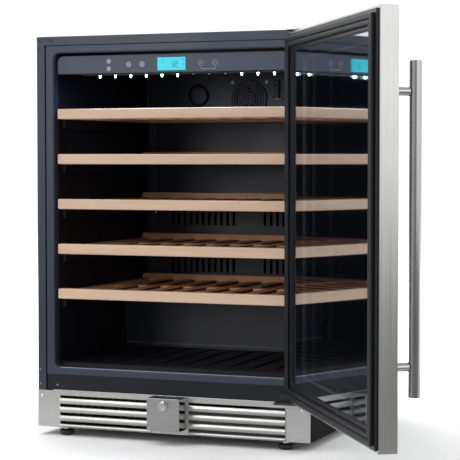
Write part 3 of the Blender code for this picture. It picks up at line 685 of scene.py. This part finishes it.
def makeLiner():
    floorLow, floorHigh = where("liner_floor")
    stepFront, wall = inside["stepFront"], inside["wall"]
    ledgeFront, ledgeBack = inside["ledgeSpan"]
    clipFront, clipBack = inside["clipSpan"]
    for name, side in (("left", -1), ("right", 1)):
        low, high = where(f"liner_{name}")
        outerX = max(abs(low.x), abs(high.x))
        innerX = outerX - wall
        reach = outerX - min(abs(low.x), abs(high.x))
        shapes = [
            boxShape((innerX, low.y, low.z), (outerX, stepFront + 0.002, high.z)),
            boxShape((innerX, stepFront + 0.0021, floorHigh.z - 0.002), (outerX, high.y, high.z)),
        ]
        for index in range(inside["shelves"]):
            top = where(f"shelf_{index + 1}_front")[0].z - 0.0003
            shapes.append(boxShape((outerX - reach, ledgeFront, top - inside["ledgeHeight"]),
                (outerX - 0.0005, ledgeBack, top), inside["ledgeSoft"]))
            clip = top + inside["clipRise"]
            shapes.append(boxShape((innerX - inside["clipOut"], clipFront, clip),
                (outerX - 0.0005, clipBack, clip + inside["clipHeight"]), 0.0012))
        bm = joinShapes(*shapes)
        if side < 0:
            mirroredX(bm)
        placePiece(f"linerWall.{name}", bm, "linerDark", replaced=[f"liner_{name}"])
    placePiece("linerCeiling", boxShape(*where("liner_ceiling")), "linerDark",
        replaced=["liner_ceiling"])
    half, top = floorHigh.x, inside["floorTop"]
    shapes = [
        boxShape((-half, floorLow.y, top - wall), (half, stepFront + wall, top)),
        boxShape((-half, floorLow.y, floorLow.z), (half, floorLow.y + wall, top - 0.0001), 0.0006),
        boxShape((-half, stepFront, top + 0.0001), (half, stepFront + wall, floorHigh.z - 0.0005),
                 0.0008),
        boxShape((-half, stepFront - 0.0002, floorHigh.z - wall), floorHigh, 0.0009),
    ]
    ribSpots = [inside["ribStart"] + inside["ribPitch"] * index for index in range(inside["ribs"])]
    ribs = joinShapes(*[boxShape((x - inside["ribHalf"], inside["ribFront"], top - 0.0015),
        (x + inside["ribHalf"], stepFront - 0.012, top + 0.0025), 0.0014) for x in ribSpots])
    ramp = (0, inside["ribFront"] + 0.002, top)
    shapes.append(sliced(ribs, ramp, (0, -0.12, 0.9928)))  # the front ends ramp up
    floor = placePiece("linerFloor", shapes, "linerDark", replaced=["liner_floor"])
    # The step's forward-looking faces keep the lighter liner and the rest take the darker copy: lit
    # and shaded copies of one plastic.
    secondFinish(floor, "liner", lambda face: face.normal.y < -0.7 and face.center.z > 0.16)
    # Pale rods along the step's top edge and in the inside corners: painted highlight lines.
    highlightBeads = [boxShape((-half + 0.004, stepFront - 0.003, 0.1566),
        (half - 0.004, stepFront + 0.0005, 0.16), 0.0012)]
    corner = -half + 0.0012
    for ahead, foot, head in ((0.001, 0.188, 0.26), (0.018, 0.156, 0.185)):
        highlightBeads.append(rodShape((corner, stepFront - ahead, foot), (corner, stepFront - ahead, head),
            0.0008, 10))
    back = where("air_duct_cover")[0].y - 0.0006
    for x, foot, head in inside["wallBeads"]:
        highlightBeads.append(rodShape((x, back, foot), (x, back, head), inside["bead"], 10))
    placePiece("linerBeads", highlightBeads, "bead")


ducts = {"slotWidth": 0.0066, "slotHeight": 0.045, "pitch": 0.0149, "rows": (0.312, 0.419),
         "starts": (-0.187, 0.0372), "count": 11, "fanHole": 0.04, "shade": (0.3, 0.48),
         "rings": (0.006, 0.0125, 0.019, 0.0255, 0.032, 0.038), "spokes": 4,
         "fanScrews": (0.041, 0.037), "fanScrew": 0.004, "sideScrew": (-0.23, 0.447, 0.0022)}


def makeRearWall():
    low, high = where("air_duct_cover")
    plate = plateShape((low.x, low.z), (high.x, high.z), 0.004, low.y, high.y, 0.0009, 3)
    cutters = []
    for z in ducts["rows"]:
        for start in ducts["starts"]:
            for step in range(ducts["count"]):
                x = start + ducts["pitch"] * step
                cutters.append(plateShape((x - ducts["slotWidth"] / 2, z),
                    (x + ducts["slotWidth"] / 2, z + ducts["slotHeight"]), 0.0024, low.y - 0.01,
                    high.y + 0.01))
    grilleLow, grilleHigh = where("fan_grille")
    middle = (grilleLow + grilleHigh) / 2
    cutters.append(rodShape((middle.x, low.y - 0.01, middle.z), (middle.x, high.y + 0.01, middle.z),
        ducts["fanHole"], 48))
    plate = carved(plate, joinShapes(*cutters))
    placePiece("airDuctCover", plate, "liner", replaced=["air_duct_cover"])
    foot, head = ducts["shade"]  # a black sheet behind the slots: painted shadow inside the duct
    shade = boxShape((low.x + 0.01, high.y + 0.0002, foot), (high.x - 0.01, high.y + 0.0008, head))
    placePiece("ductShade", shade, "void")
    rings = [turnedShape(ringProfile(r - 0.001, r + 0.001, -0.0036, -0.0006, 0.0005),
        (middle.x, low.y, middle.z), (0, 1, 0), 56) for r in ducts["rings"]]
    rim = turnedShape(ringProfile(0.0398, 0.043, -0.0037, -0.0003, 0.0009),
        (middle.x, low.y, middle.z), (0, 1, 0), 56)
    placePiece("fanRim", rim, "black")
    for turn in range(ducts["spokes"]):
        angle = math.radians(45 + 360 / ducts["spokes"] * turn)
        start = Vector((math.cos(angle), 0, math.sin(angle)))
        spot = Vector((middle.x, low.y - 0.0016, middle.z))
        rings.append(rodShape(spot + start * 0.003, spot + start * 0.041, 0.001, 10))
    placePiece("fanGrille", rings, "bead", replaced=["fan_grille"])
    across, up = ducts["fanScrews"]
    screws = [screwShape(middle.x + x, low.y - 0.0002, middle.z + z, ducts["fanScrew"])
        for x in (-across, across) for z in (-up, up)]
    x, z, radius = ducts["sideScrew"]
    screws.append(screwShape(x, low.y - 0.0002, z, radius))
    # Near-white screw heads: painted glints.
    placePiece("rearScrews", screws, "screwBright")
    fLow, fHigh = where("charcoal_filter")
    spot = (fLow + fHigh) / 2
    radius = (fHigh.x - fLow.x) / 2
    cap = turnedShape([(0, -0.005), (radius - 0.006, -0.005), (radius - 0.0045, -0.004),
        (radius - 0.004, -0.0003), (0, -0.0003)], (spot.x, low.y, spot.z), (0, 1, 0), 64)
    rim = turnedShape([(radius - 0.0046, -0.0003), (radius - 0.0046, -0.005),
        (radius - 0.003, -0.0075), (radius - 0.0012, -0.0068), (radius, -0.0045), (radius, -0.0003),
        (radius - 0.0046, -0.0003)], (spot.x, low.y, spot.z), (0, 1, 0), 64)
    placePiece("filterCap", cap, "liner", replaced=["charcoal_filter"])
    placePiece("filterRim", rim, "black")
    sLow, sHigh = where("temperature_sensor")
    x = sLow.x + 0.015
    # A black box behind the sensor rod: painted shade of its recess.
    back = boxShape((x - 0.0055, sLow.y + 0.004, sLow.z + 0.002), (x + 0.0055, sHigh.y, sHigh.z),
        0.0012)
    placePiece("sensorRecess", back, "black", replaced=["temperature_sensor"])
    parts = [
        boxShape((sLow.x, sLow.y + 0.002, sLow.z), (sHigh.x, sHigh.y, sLow.z + 0.0032), 0.0008),
        boxShape((sLow.x, sLow.y + 0.002, sLow.z), (sLow.x + 0.006, sHigh.y, sLow.z + 0.007),
                 0.001),
        rodShape((x, sLow.y + 0.002, sLow.z + 0.006), (x, sLow.y + 0.002, sHigh.z - 0.012), 0.0009,
                 12),
        turnedShape([(0, -0.0026), (0.0016, -0.002), (0.0026, 0.0), (0.0016, 0.002), (0, 0.0026)],
                    (x, sLow.y + 0.0026, sLow.z + 0.0045), (0, 0, 1), 16),
        rodShape((x, sLow.y + 0.002, sHigh.z - 0.005), (x, sHigh.y - 0.001, sHigh.z - 0.005),
                 0.0022, 16, 0.0005),
    ]
    placePiece("temperatureSensor", parts, "keyFace")


# ---- shelves ----
shelf = {"boardSoft": 0.0024, "slatSoft": 0.0016, "slats": 8, "pitch": 0.053, "width": 0.0265,
         "deckDrop": 0.005, "slatThick": 0.008, "rail": 0.018, "cross": (0.225, 0.255)}


def makeShelf(number):
    body = f"shelf_{number}"
    low, high = where(f"shelf_{number}_front")
    board = boxShape(low, high, shelf["boardSoft"], 3)
    placePiece(f"shelfFront.{number}", board, "beechAcross", body, [f"shelf_{number}_front"])
    rackLow, rackHigh = where(f"shelf_{number}_rack")
    deck = high.z - shelf["deckDrop"]
    half, rail = rackHigh.x, shelf["rail"]
    back = rackHigh.y - rail - 0.0005
    rails = [boxShape((x0, rackLow.y, low.z), (x1, back, deck), shelf["slatSoft"])
        for x0, x1 in ((-half, -half + rail), (half - rail, half))]
    slats = []
    for index in range(shelf["slats"]):
        x = (index - (shelf["slats"] - 1) / 2) * shelf["pitch"]
        slats.append(boxShape(
            (x - shelf["width"] / 2, rackLow.y, deck - 0.001 - shelf["slatThick"]),
            (x + shelf["width"] / 2, back, deck - 0.001), shelf["slatSoft"]))
    deckPiece = placePiece(f"shelfSlats.{number}", [*rails, *slats], "beechDeep", body,
        [f"shelf_{number}_rack"])

    def shadedSlatSide(face):  # the slats' sides, but not the side rails': painted shade in the gaps
        return (abs(face.normal.x) > 0.8 and abs(face.center.x - cabinetSpot.x) < half - 0.02)

    secondFinish(deckPiece, "slatShade", shadedSlatSide)
    end = half - rail - 0.0005
    crossFront, crossBack = shelf["cross"]
    cross = [
        boxShape((-half, rackHigh.y - rail, low.z), rackHigh, shelf["slatSoft"]),
        boxShape((-end, rackLow.y, low.z + 0.002), (end, rackLow.y + rail, deck - 0.0092), 0.001),
        boxShape((-end, crossFront, low.z + 0.002), (end, crossBack, deck - 0.0014), 0.001),
    ]
    placePiece(f"shelfRails.{number}", cross, "beechRail", body)


# ---- controls ----
controls = {"corner": 0.0135, "soft": 0.0014, "disc": 0.005, "lampRadius": 0.0022,
            "lampStart": -0.162, "lampPitch": 0.0343, "lamps": 12, "unlit": (6, 7, 8),
            "litDrop": 0.0052, "unlitDrop": 0.0016, "groove": (0.0148, 0.0152), "line": 0.0007,
            "discX": -0.1381, "digit": 0.0058, "stroke": 0.0013,
            "screenDots": ((0.025, 0.0075), (0.025, -0.0015), (-0.0195, 0.0055))}


def flatMark(points, y, width):  # a printed line through points, as thin rods
    return [rodShape((a[0], y, a[1]), (b[0], y, b[1]), width / 2, 8)
        for a, b in zip(points, points[1:])]


def ringMark(x, y, z, radius, width):
    return turnedShape(ringProfile(radius - width / 2, radius + width / 2, -0.00012, 0.00012,
        0.00004), (x, y, z), (0, 1, 0), 32)


def makeControls():
    low, high = where("control_panel")
    panel = plateShape((low.x, low.z), (high.x, high.z), controls["corner"], low.y, high.y,
        controls["soft"], 3, lambda v: v.co.z > (low.z + high.z) / 2)
    dLow, dHigh = where("display_window")
    height = (dLow.z + dHigh.z) / 2
    cutters = [boxShape((dLow.x - 0.0003, -0.01, dLow.z - 0.0003),
        (dHigh.x + 0.0003, dHigh.y + 0.0003, dHigh.z + 0.0003))]
    keySpots = {}
    for key in ("power", "light", "plus", "minus"):
        kLow, kHigh = where(f"key_{key}")
        keySpots[key] = (kLow + kHigh) / 2
        cutters.append(rodShape((keySpots[key].x, -0.01, height),
            (keySpots[key].x, low.y + 0.0045, height), (kHigh.x - kLow.x) / 2 + 0.0002, 40))
    left, right = controls["groove"]
    cutters.append(boxShape((low.x + left, -0.01, low.z - 0.01),
        (low.x + right, low.y + 0.0006, high.z + 0.01)))
    for cutter in cutters:
        panel = carved(panel, cutter)
    placePiece("controlPanel", panel, "panel", replaced=["control_panel"])
    face, line = low.y, controls["line"]
    for key, spot in keySpots.items():
        radius = (where(f"key_{key}")[1].x - where(f"key_{key}")[0].x) / 2
        cap = turnedShape([(0, -0.001), (radius * 0.8, -0.001), (radius * 0.94, -0.0008),
            (radius, -0.0002), (radius, 0.003), (0, 0.003)], (spot.x, face, height), (0, 1, 0), 40)
        finish = "keyFace" if key in ("power", "light") else "panel"
        placePiece(f"key.{key}", cap, finish, f"key_{key}", [f"key_{key}"])
        marks = []
        y = face - 0.001
        if key in ("plus", "minus"):
            marks.append(ringMark(spot.x, y, height, radius * 0.86, line))
            marks += flatMark([(spot.x - 0.0022, height), (spot.x + 0.0022, height)], y, line)
        if key == "plus":
            marks += flatMark([(spot.x, height - 0.0022), (spot.x, height + 0.0022)], y, line)
        if key == "power":
            marks.append(ringMark(spot.x, y, height, radius * 0.46, line))
            marks += flatMark([(spot.x, height), (spot.x, height + 0.0034)], y, 0.0008)
        if key == "light":
            marks.append(ringMark(spot.x, y, height, radius * 0.3, line))
            for turn in range(8):
                way = Vector((math.cos(turn * math.pi / 4), math.sin(turn * math.pi / 4)))
                marks += flatMark([(spot.x + way.x * 0.0028, height + way.y * 0.0028),
                    (spot.x + way.x * 0.0042, height + way.y * 0.0042)], y, 0.0006)
        placePiece(f"keyMark.{key}", marks, "digit" if key in ("power", "light") else "print",
            f"key_{key}")
    plus, minus = keySpots["plus"], keySpots["minus"]
    drop = height - 0.0115
    head = height - 0.0072
    bracket = flatMark([(plus.x, head), (plus.x, drop), (minus.x, drop), (minus.x, head)], face,
        line)
    placePiece("panelBracketMark", bracket, "print")
    disc = controls["disc"]
    profile = [(0, -0.0002), (disc * 0.9, -0.0002), (disc, 0.0), (disc, 0.0006), (0, 0.0006)]
    discs = [turnedShape(profile, (controls["discX"], face, z), (0, 1, 0), 32)
        for z in (height + 0.0074, height - 0.0078)]
    placePiece("panelDiscs", discs, "keyFace")
    makeDisplay(dLow, dHigh)
    makeLamps()


digitStrokes = {"1": "bc", "2": "abged"}


def makeDisplay(low, high):
    screen = plateShape((low.x, low.z), (high.x, high.z), 0.0008, low.y, high.y, 0.0002)
    placePiece("displayScreen", screen, "screen", replaced=["display_window"])
    y = low.y - 0.00005
    marks = []
    size = controls["digit"]
    for digit, x in (("1", 0.0008), ("2", 0.01)):
        z = (low.z + high.z) / 2 - 0.0006
        left, right, top, foot = x - size / 2, x + size / 2, z + size, z - size
        spots = {"a": ((left, top), (right, top)), "g": ((left, z), (right, z)),
                 "d": ((left, foot), (right, foot)), "b": ((right, top), (right, z)),
                 "c": ((right, z), (right, foot)), "e": ((left, z), (left, foot))}
        for name in digitStrokes[digit]:
            a, b = [Vector(p) for p in spots[name]]
            trim = (b - a) * 0.1
            marks.append(boxAlong(a + trim, b - trim, y, controls["stroke"]))
    for x, z in controls["screenDots"]:
        spot = Vector((x, (low.z + high.z) / 2 + z))
        marks.append(boxAlong(spot, spot + Vector((0.0018, 0)), y, 0.0016))
    placePiece("displayDigits", marks, "digit")


def boxAlong(a, b, y, width):
    pad = Vector((width / 2, width / 2))
    low = Vector((min(a.x, b.x), min(a.y, b.y))) - pad
    high = Vector((max(a.x, b.x), max(a.y, b.y))) + pad
    return boxShape((low.x, y - 0.00006, low.y), (high.x, y + 0.0001, high.y))


def makeLamps():
    low, high = where("led_strip")
    strip = boxShape((low.x, low.y, low.z + 0.0015), high, 0.0006)
    placePiece("lampStrip", strip, "linerDark", replaced=["led_strip"])
    lit, unlit = [], []
    for index in range(controls["lamps"]):
        x = controls["lampStart"] + controls["lampPitch"] * index
        radius = controls["lampRadius"]
        drop = controls["unlitDrop" if index in controls["unlit"] else "litDrop"]
        lens = turnedShape([(0, -drop), (radius * 0.5, -drop * 0.87), (radius * 0.87, -drop * 0.5),
            (radius, 0.0), (radius, 0.0008), (0, 0.0008)], (x, low.y + 0.006, low.z + 0.001),
            (0, 0, 1), 20)
        (unlit if index in controls["unlit"] else lit).append(lens)
    placePiece("lampsLit", lit, "led")
    placePiece("lampsUnlit", unlit, "ledOff")


# ---- door ----
door = {"border": 0.04, "edgeSoft": 0.0011, "linerInset": 0.0045, "gasketInset": 0.0105,
        "gasketWidth": 0.0195, "seam": 0.00015, "glassInset": 0.0365, "trimWidth": 0.0018,
        "stripEdge": 0.0098, "stripWidth": 0.004, "stripY": (-0.0305, -0.0265),
        "handleSoft": 0.0014}


# Four bars cut at 45 degrees at their ends.
def mitredBars(corners, border, y0, y1, soft):
    (x0, z0), (x1, z1) = corners
    s = door["seam"]
    bars = {}
    for name, low, high, cuts in (
        ("left", (x0, z0), (x0 + border, z1), (((x0, z0 + s), (1, -1)), ((x0, z1 - s), (1, 1)))),
        ("right", (x1 - border, z0), (x1, z1), (((x1, z0 + s), (-1, -1)), ((x1, z1 - s), (-1, 1)))),
        ("lower", (x0, z0), (x1, z0 + border), (((x0 + s, z0), (-1, 1)), ((x1 - s, z0), (1, 1)))),
        ("upper", (x0, z1 - border), (x1, z1), (((x0 + s, z1), (-1, -1)), ((x1 - s, z1), (1, -1)))),
    ):
        bar = boxShape((low[0], y0, low[1]), (high[0], y1, high[1]), soft)
        for spot, normal in cuts:
            sliced(bar, (spot[0], 0, spot[1]), (normal[0], 0, normal[1]))
        bars[name] = bar
    return bars


def makeDoor():
    low, high = whereClosed("door_frame")
    corners = ((low.x, low.z), (high.x, high.z))
    outerFace, innerFace = low.y, high.y
    bars = mitredBars(corners, door["border"], outerFace, innerFace, door["edgeSoft"])
    placePiece("doorStiles", [bars["left"], bars["right"]], "steelUp", "door", ["door_frame"])
    placePiece("doorRails", [bars["lower"], bars["upper"]], "steelRail", "door")
    glassBack = whereClosed("glass_inner")[1].y
    liner = frameShape(inset(corners, door["linerInset"], 0.002),
        inset(corners, door["glassInset"], 0.005), innerFace + 0.0003, innerFace + 0.005, 0.0012)
    trim = frameShape(inset(corners, door["glassInset"] - 0.0005, 0.005),
        inset(corners, door["glassInset"] + door["trimWidth"], 0.006), glassBack + 0.0003,
        glassBack + 0.0014, 0.0004)
    placePiece("doorLiner", [liner, trim], "doorBlack", "door", ["door_liner"])
    gLow, gHigh = whereClosed("door_gasket")
    outer, width = door["gasketInset"], door["gasketWidth"]
    gasket = [frameShape(inset(corners, outer + start, 0.005), inset(corners, outer + end, 0.005),
                         front, back, soft, 3)
              for start, end, front, back, soft in (
                  (0, width * 0.52, gLow.y + 0.0005, gHigh.y, 0.0022),
                  (width * 0.54, width, gLow.y + 0.0005, gHigh.y - 0.0006, 0.0022),
                  (0.001, width - 0.001, gLow.y, gLow.y + 0.003, 0))]
    placePiece("doorGasket", gasket, "gasket", "door", ["door_gasket"])
    for name, node, finish in (("glassOuter", "glass_outer", "darkGlass"),
                               ("glassInner", "glass_inner", "mirrorGlass")):
        pLow, pHigh = whereClosed(node)
        if name == "glassInner":  # laps over the steel's inner edge
            lap = low.x + door["glassInset"] + 0.0003 - pLow.x
            pLow, pHigh = (Vector((pLow.x + lap, innerFace + 0.0002, pLow.z + lap)),
                pHigh - Vector((lap, 0, lap)))
        placePiece(name, plateShape((pLow.x, pLow.z), (pHigh.x, pHigh.z), 0.006, pLow.y, pHigh.y,
            0.0004), finish, "door", [node])
    sLow, sHigh = whereClosed("glass_spacer")
    spacer = frameShape(((sLow.x, sLow.z), (sHigh.x, sHigh.z), 0.006),
        inset(corners, door["border"] + 0.01, 0.004), sLow.y, innerFace, 0.0008)
    placePiece("glassSpacer", spacer, "black", "door", ["glass_spacer"])
    # A near-white strip round the pane: painted reflection of the spacer's bright edge.
    edge = door["border"] + door["stripEdge"]
    strip = frameShape(inset(corners, edge, 0.004),
        inset(corners, edge + door["stripWidth"], 0.004), *door["stripY"])
    placePiece("glassSpacerStrip", strip, "screwBright", "door")
    makeHandle()


def makeHandle():
    low, high = whereClosed("handle_bar")
    spot = (low + high) / 2
    radius = (high.x - low.x) / 2
    length, soft = high.z - low.z, door["handleSoft"]
    profile = [(0, 0), (radius - 0.0012, 0), (radius - 0.0004, 0.0004), (radius, soft),
               (radius, length - soft), (radius - 0.0004, length - 0.0004),
               (radius - 0.0012, length), (0, length)]
    bar = turnedShape(profile, (spot.x, spot.y, low.z), (0, 0, 1), 56)
    placePiece("handleBar", bar, "steelSmooth", "door", ["handle_bar"])
    posts = []
    for node in ("handle_post_lower", "handle_post_upper"):
        pLow, pHigh = whereClosed(node)
        z = (pLow.z + pHigh.z) / 2
        x = (pLow.x + pHigh.x) / 2
        post = (pHigh.z - pLow.z) / 2
        posts.append(rodShape((x, pHigh.y, z), (x, pLow.y + 0.0002, z), post, 40, 0.0006))
    placePiece("handlePosts", posts, "chrome", "door", ["handle_post_lower", "handle_post_upper"])


# ---- hinges, feet and what is left ----
hinge = {"pinIn": 0.014, "pin": 0.004, "upperPlate": (0.008, 0.011), "lowerPlate": 0.0045,
         "head": [(0, -0.0005), (0.0062, -0.0005), (0.0062, 0.0008), (0.005, 0.0016), (0, 0.0018)]}


def makeHinges():
    for name in ("upper", "lower"):
        low, high = where(f"hinge_bracket_{name}")
        pinX = halfWidth - hinge["pinIn"]
        pinY = low.y + hinge["pinIn"]
        if name == "upper":
            plateZ = [low.z + rise for rise in hinge["upperPlate"]]
            pin = (low.z, plateZ[0] + 0.0005)
        else:
            plateZ = (low.z, low.z + hinge["lowerPlate"])
            pin = (plateZ[1] - 0.0005, high.z)
        shapes = [boxShape((low.x, low.y, plateZ[0]), (high.x, high.y, plateZ[1]), 0.001),
                  boxShape((low.x, -0.0033, plateZ[0]), (high.x, high.y, high.z), 0.0008),
                  rodShape((pinX, pinY, pin[0]), (pinX, pinY, pin[1]), hinge["pin"], 28, 0.0006)]
        head = plateZ[1] if name == "upper" else plateZ[0]
        way = (0, 0, 1) if name == "upper" else (0, 0, -1)
        shapes.append(turnedShape(hinge["head"], (pinX, pinY, head), way, 28))
        placePiece(f"hinge.{name}", shapes, "black", replaced=[f"hinge_bracket_{name}"])


# Profiles are (radius, height); the glide's first radii are in from its edge.
foot = {"rim": [(0.004, 0.0), (0.0022, 0.0008), (0.0004, 0.0042), (0, 0.0058), (0, 0.0088),
                (0.0008, 0.0098), (0.003, 0.0112)],
        "crown": [(0.0075, 0.0122), (0.006, 0.0128), (0, 0.0128)],
        "nut": [(0, 0.012), (0.0078, 0.012), (0.0078, 0.016), (0, 0.016)],
        "stem": 0.0044, "stemFoot": 0.0155}


def makeFeet():
    for place in ("front_left", "front_right", "rear_left", "rear_right"):
        node = f"foot_{place}"
        low, high = where(node)
        spot = (low + high) / 2
        radius = (high.x - low.x) / 2
        profile = [(0, 0.0)] + [(radius - back, z) for back, z in foot["rim"]] + foot["crown"]
        glide = turnedShape(profile, (spot.x, spot.y, 0), (0, 0, 1), 48)
        placePiece(f"footGlide.{place}", glide, "rubber", node, [node])
        stem = [turnedShape(foot["nut"], (spot.x, spot.y, 0), (0, 0, 1), 6),
            rodShape((spot.x, spot.y, foot["stemFoot"]), (spot.x, spot.y, high.z), foot["stem"],
            20)]
        placePiece(f"footStem.{place}", stem, "chrome", node)


carried = {"rear_panel": "slate", "machine_cover": "slate", "base_pan": "black",
           "foam_insulation": "foam", "evaporator": "aluminium", "compressor": "black",
           "condenser": "black", "drip_tray": "liner", "cord_gland": "rubber",
           "circulation_fan": "black", "condenser_fan": "black", "fan_housing": "black"}


def finishCarried():
    for node, finish in carried.items():
        mesh = frame["nodes"][node].data
        mesh.materials.clear()
        mesh.materials.append(finishes[finish])


# ---- stage, lights and camera ----
studio = {"camera": (1.3272, -3.0479, 0.5715), "yaw": -21.448, "pitch": -2.4756, "lens": 130.2,
          "sensor": 36.0, "floorSize": 16.0, "backWall": 1.15, "ahead": 0.42, "aheadRight": 1.42,
          "aheadLeft": 1.0, "below": 0.3, "overhead": 0.5, "floorSeen": 0.97, "floorGrey": 0.24}


def makeStage():
    bpy.ops.mesh.primitive_plane_add(size=studio["floorSize"], location=(0, 0, -0.0006))
    floor = bpy.context.object
    floor.name = "studioFloor"
    paint = Finish("studioFloorPaint", {"Roughness": 0.9, "Specular IOR Level": 0.1})
    cloud = paint.spots.noise(0.5, 1)
    pale = cloud.blend((0.84, 0.84, 0.84, 1), (0.86, 0.86, 0.86, 1))
    ahead = paint.spots.node(
        "ShaderNodeSeparateXYZ", {}, {"Vector": paint.spots}, "Y").between(-0.24, -0.9)
    seen = paint.spots.node("ShaderNodeLightPath", output="Is Camera Ray")
    grey = ahead.blend(pale, (*[studio["floorGrey"]] * 3, 1))  # gloss finds a greyer floor ahead
    paint.feed(color=seen.blend(grey, (*[studio["floorSeen"]] * 3, 1)))
    floor.data.materials.append(paint.material)


def addArea(name, spot, target, size, power, color=(1, 1, 1)):
    lamp = bpy.data.lights.new(name, "AREA")
    lamp.shape = "RECTANGLE"
    lamp.size, lamp.size_y = size
    lamp.energy = power
    lamp.color = color
    made = bpy.data.objects.new(name, lamp)
    bpy.context.scene.collection.objects.link(made)
    made.location = toRow @ Vector(spot)
    made.rotation_euler = (
        toRow @ Vector(target) - made.location).to_track_quat("-Z", "Y").to_euler()
    return made


# A white wall behind, a grey room in front with a lighter wall on each side, and a dim ceiling.
def makeAir():
    world = bpy.data.worlds.new("studioAir")
    bpy.context.scene.world = world
    world.use_nodes = True
    way = Wire(world.node_tree).node("ShaderNodeTexCoord", {}, {}, "Generated")
    across, depth, height = [way.node("ShaderNodeSeparateXYZ", {}, {"Vector": way}, axis)
        for axis in "XYZ"]
    room = studio["ahead"] + across.between(0.46, 0.66, 0, studio["aheadRight"] - studio["ahead"])
    room = room + across.between(-0.05, -0.4, 0, studio["aheadLeft"] - studio["ahead"])
    room = room * height.between(-0.12, 0.0, studio["below"], 1)
    rise = height.between(0.3, 0.8)
    room = room + rise * (studio["overhead"] - room)
    wall = studio["backWall"] + rise * (studio["overhead"] - studio["backWall"])
    level = room + depth.between(-0.15, 0.25) * (wall - room)
    seen = way.node("ShaderNodeLightPath", output="Is Camera Ray")
    # The room looks evenly pale from every side.
    level = level + seen * (studio["backWall"] - level)
    air = world.node_tree.nodes["Background"]
    world.node_tree.links.new(level.socket, air.inputs["Strength"])
    air.inputs["Color"].default_value = (0.985, 0.995, 1, 1)


def makeLights():
    makeAir()
    addArea("backdropLight", (0, 2.6, 3.6), (0, 6.8, 0), (11.0, 3.0), 980)
    addArea("topLight", (-0.4, 0.3, 2.4), (-0.4, 0.3, 0), (1.6, 1.6), 34)
    addArea("softboxHigh", (-1.2, -1.7, 2.0), (0, 0, 0.6), (1.3, 1.0), 17)
    addArea("softboxFront", (-1.3, -3.2, 0.85), (0, 0.3, 0.55), (0.9, 0.6), 13)
    spill = addArea("lampSpill", (0.0, 0.024, 0.731), (0.0, 0.06, 0.2), (0.36, 0.006), 0.9,
        (0.34, 0.6, 1.0))
    spill.visible_camera = False
    spill.visible_glossy = False
    bpy.context.scene.view_settings.view_transform = "Standard"


def makeCamera():
    camera = bpy.data.cameras.new("studioCamera")
    camera.sensor_width = studio["sensor"]
    camera.lens = studio["lens"]
    made = bpy.data.objects.new("studioCamera", camera)
    bpy.context.scene.collection.objects.link(made)
    yaw, pitch = math.radians(studio["yaw"]), math.radians(studio["pitch"])
    ahead = Vector((math.sin(yaw) * math.cos(pitch), math.cos(yaw) * math.cos(pitch),
        math.sin(pitch)))
    made.location = toRow @ Vector(studio["camera"])
    made.rotation_euler = ahead.to_track_quat("-Z", "Y").to_euler()
    bpy.context.scene.camera = made


makeCamera()
makeStage()
makeLights()
print("studio made")
makeSkin()
makeFastenings()
makeFront()
makeKickplate()
makeLock()
print("outside made")
makeLiner()
makeRearWall()
for number in range(1, 6):
    makeShelf(number)
makeControls()
print("inside made")
makeDoor()
makeHinges()
makeFeet()
finishCarried()
print("door, hinges and feet made")
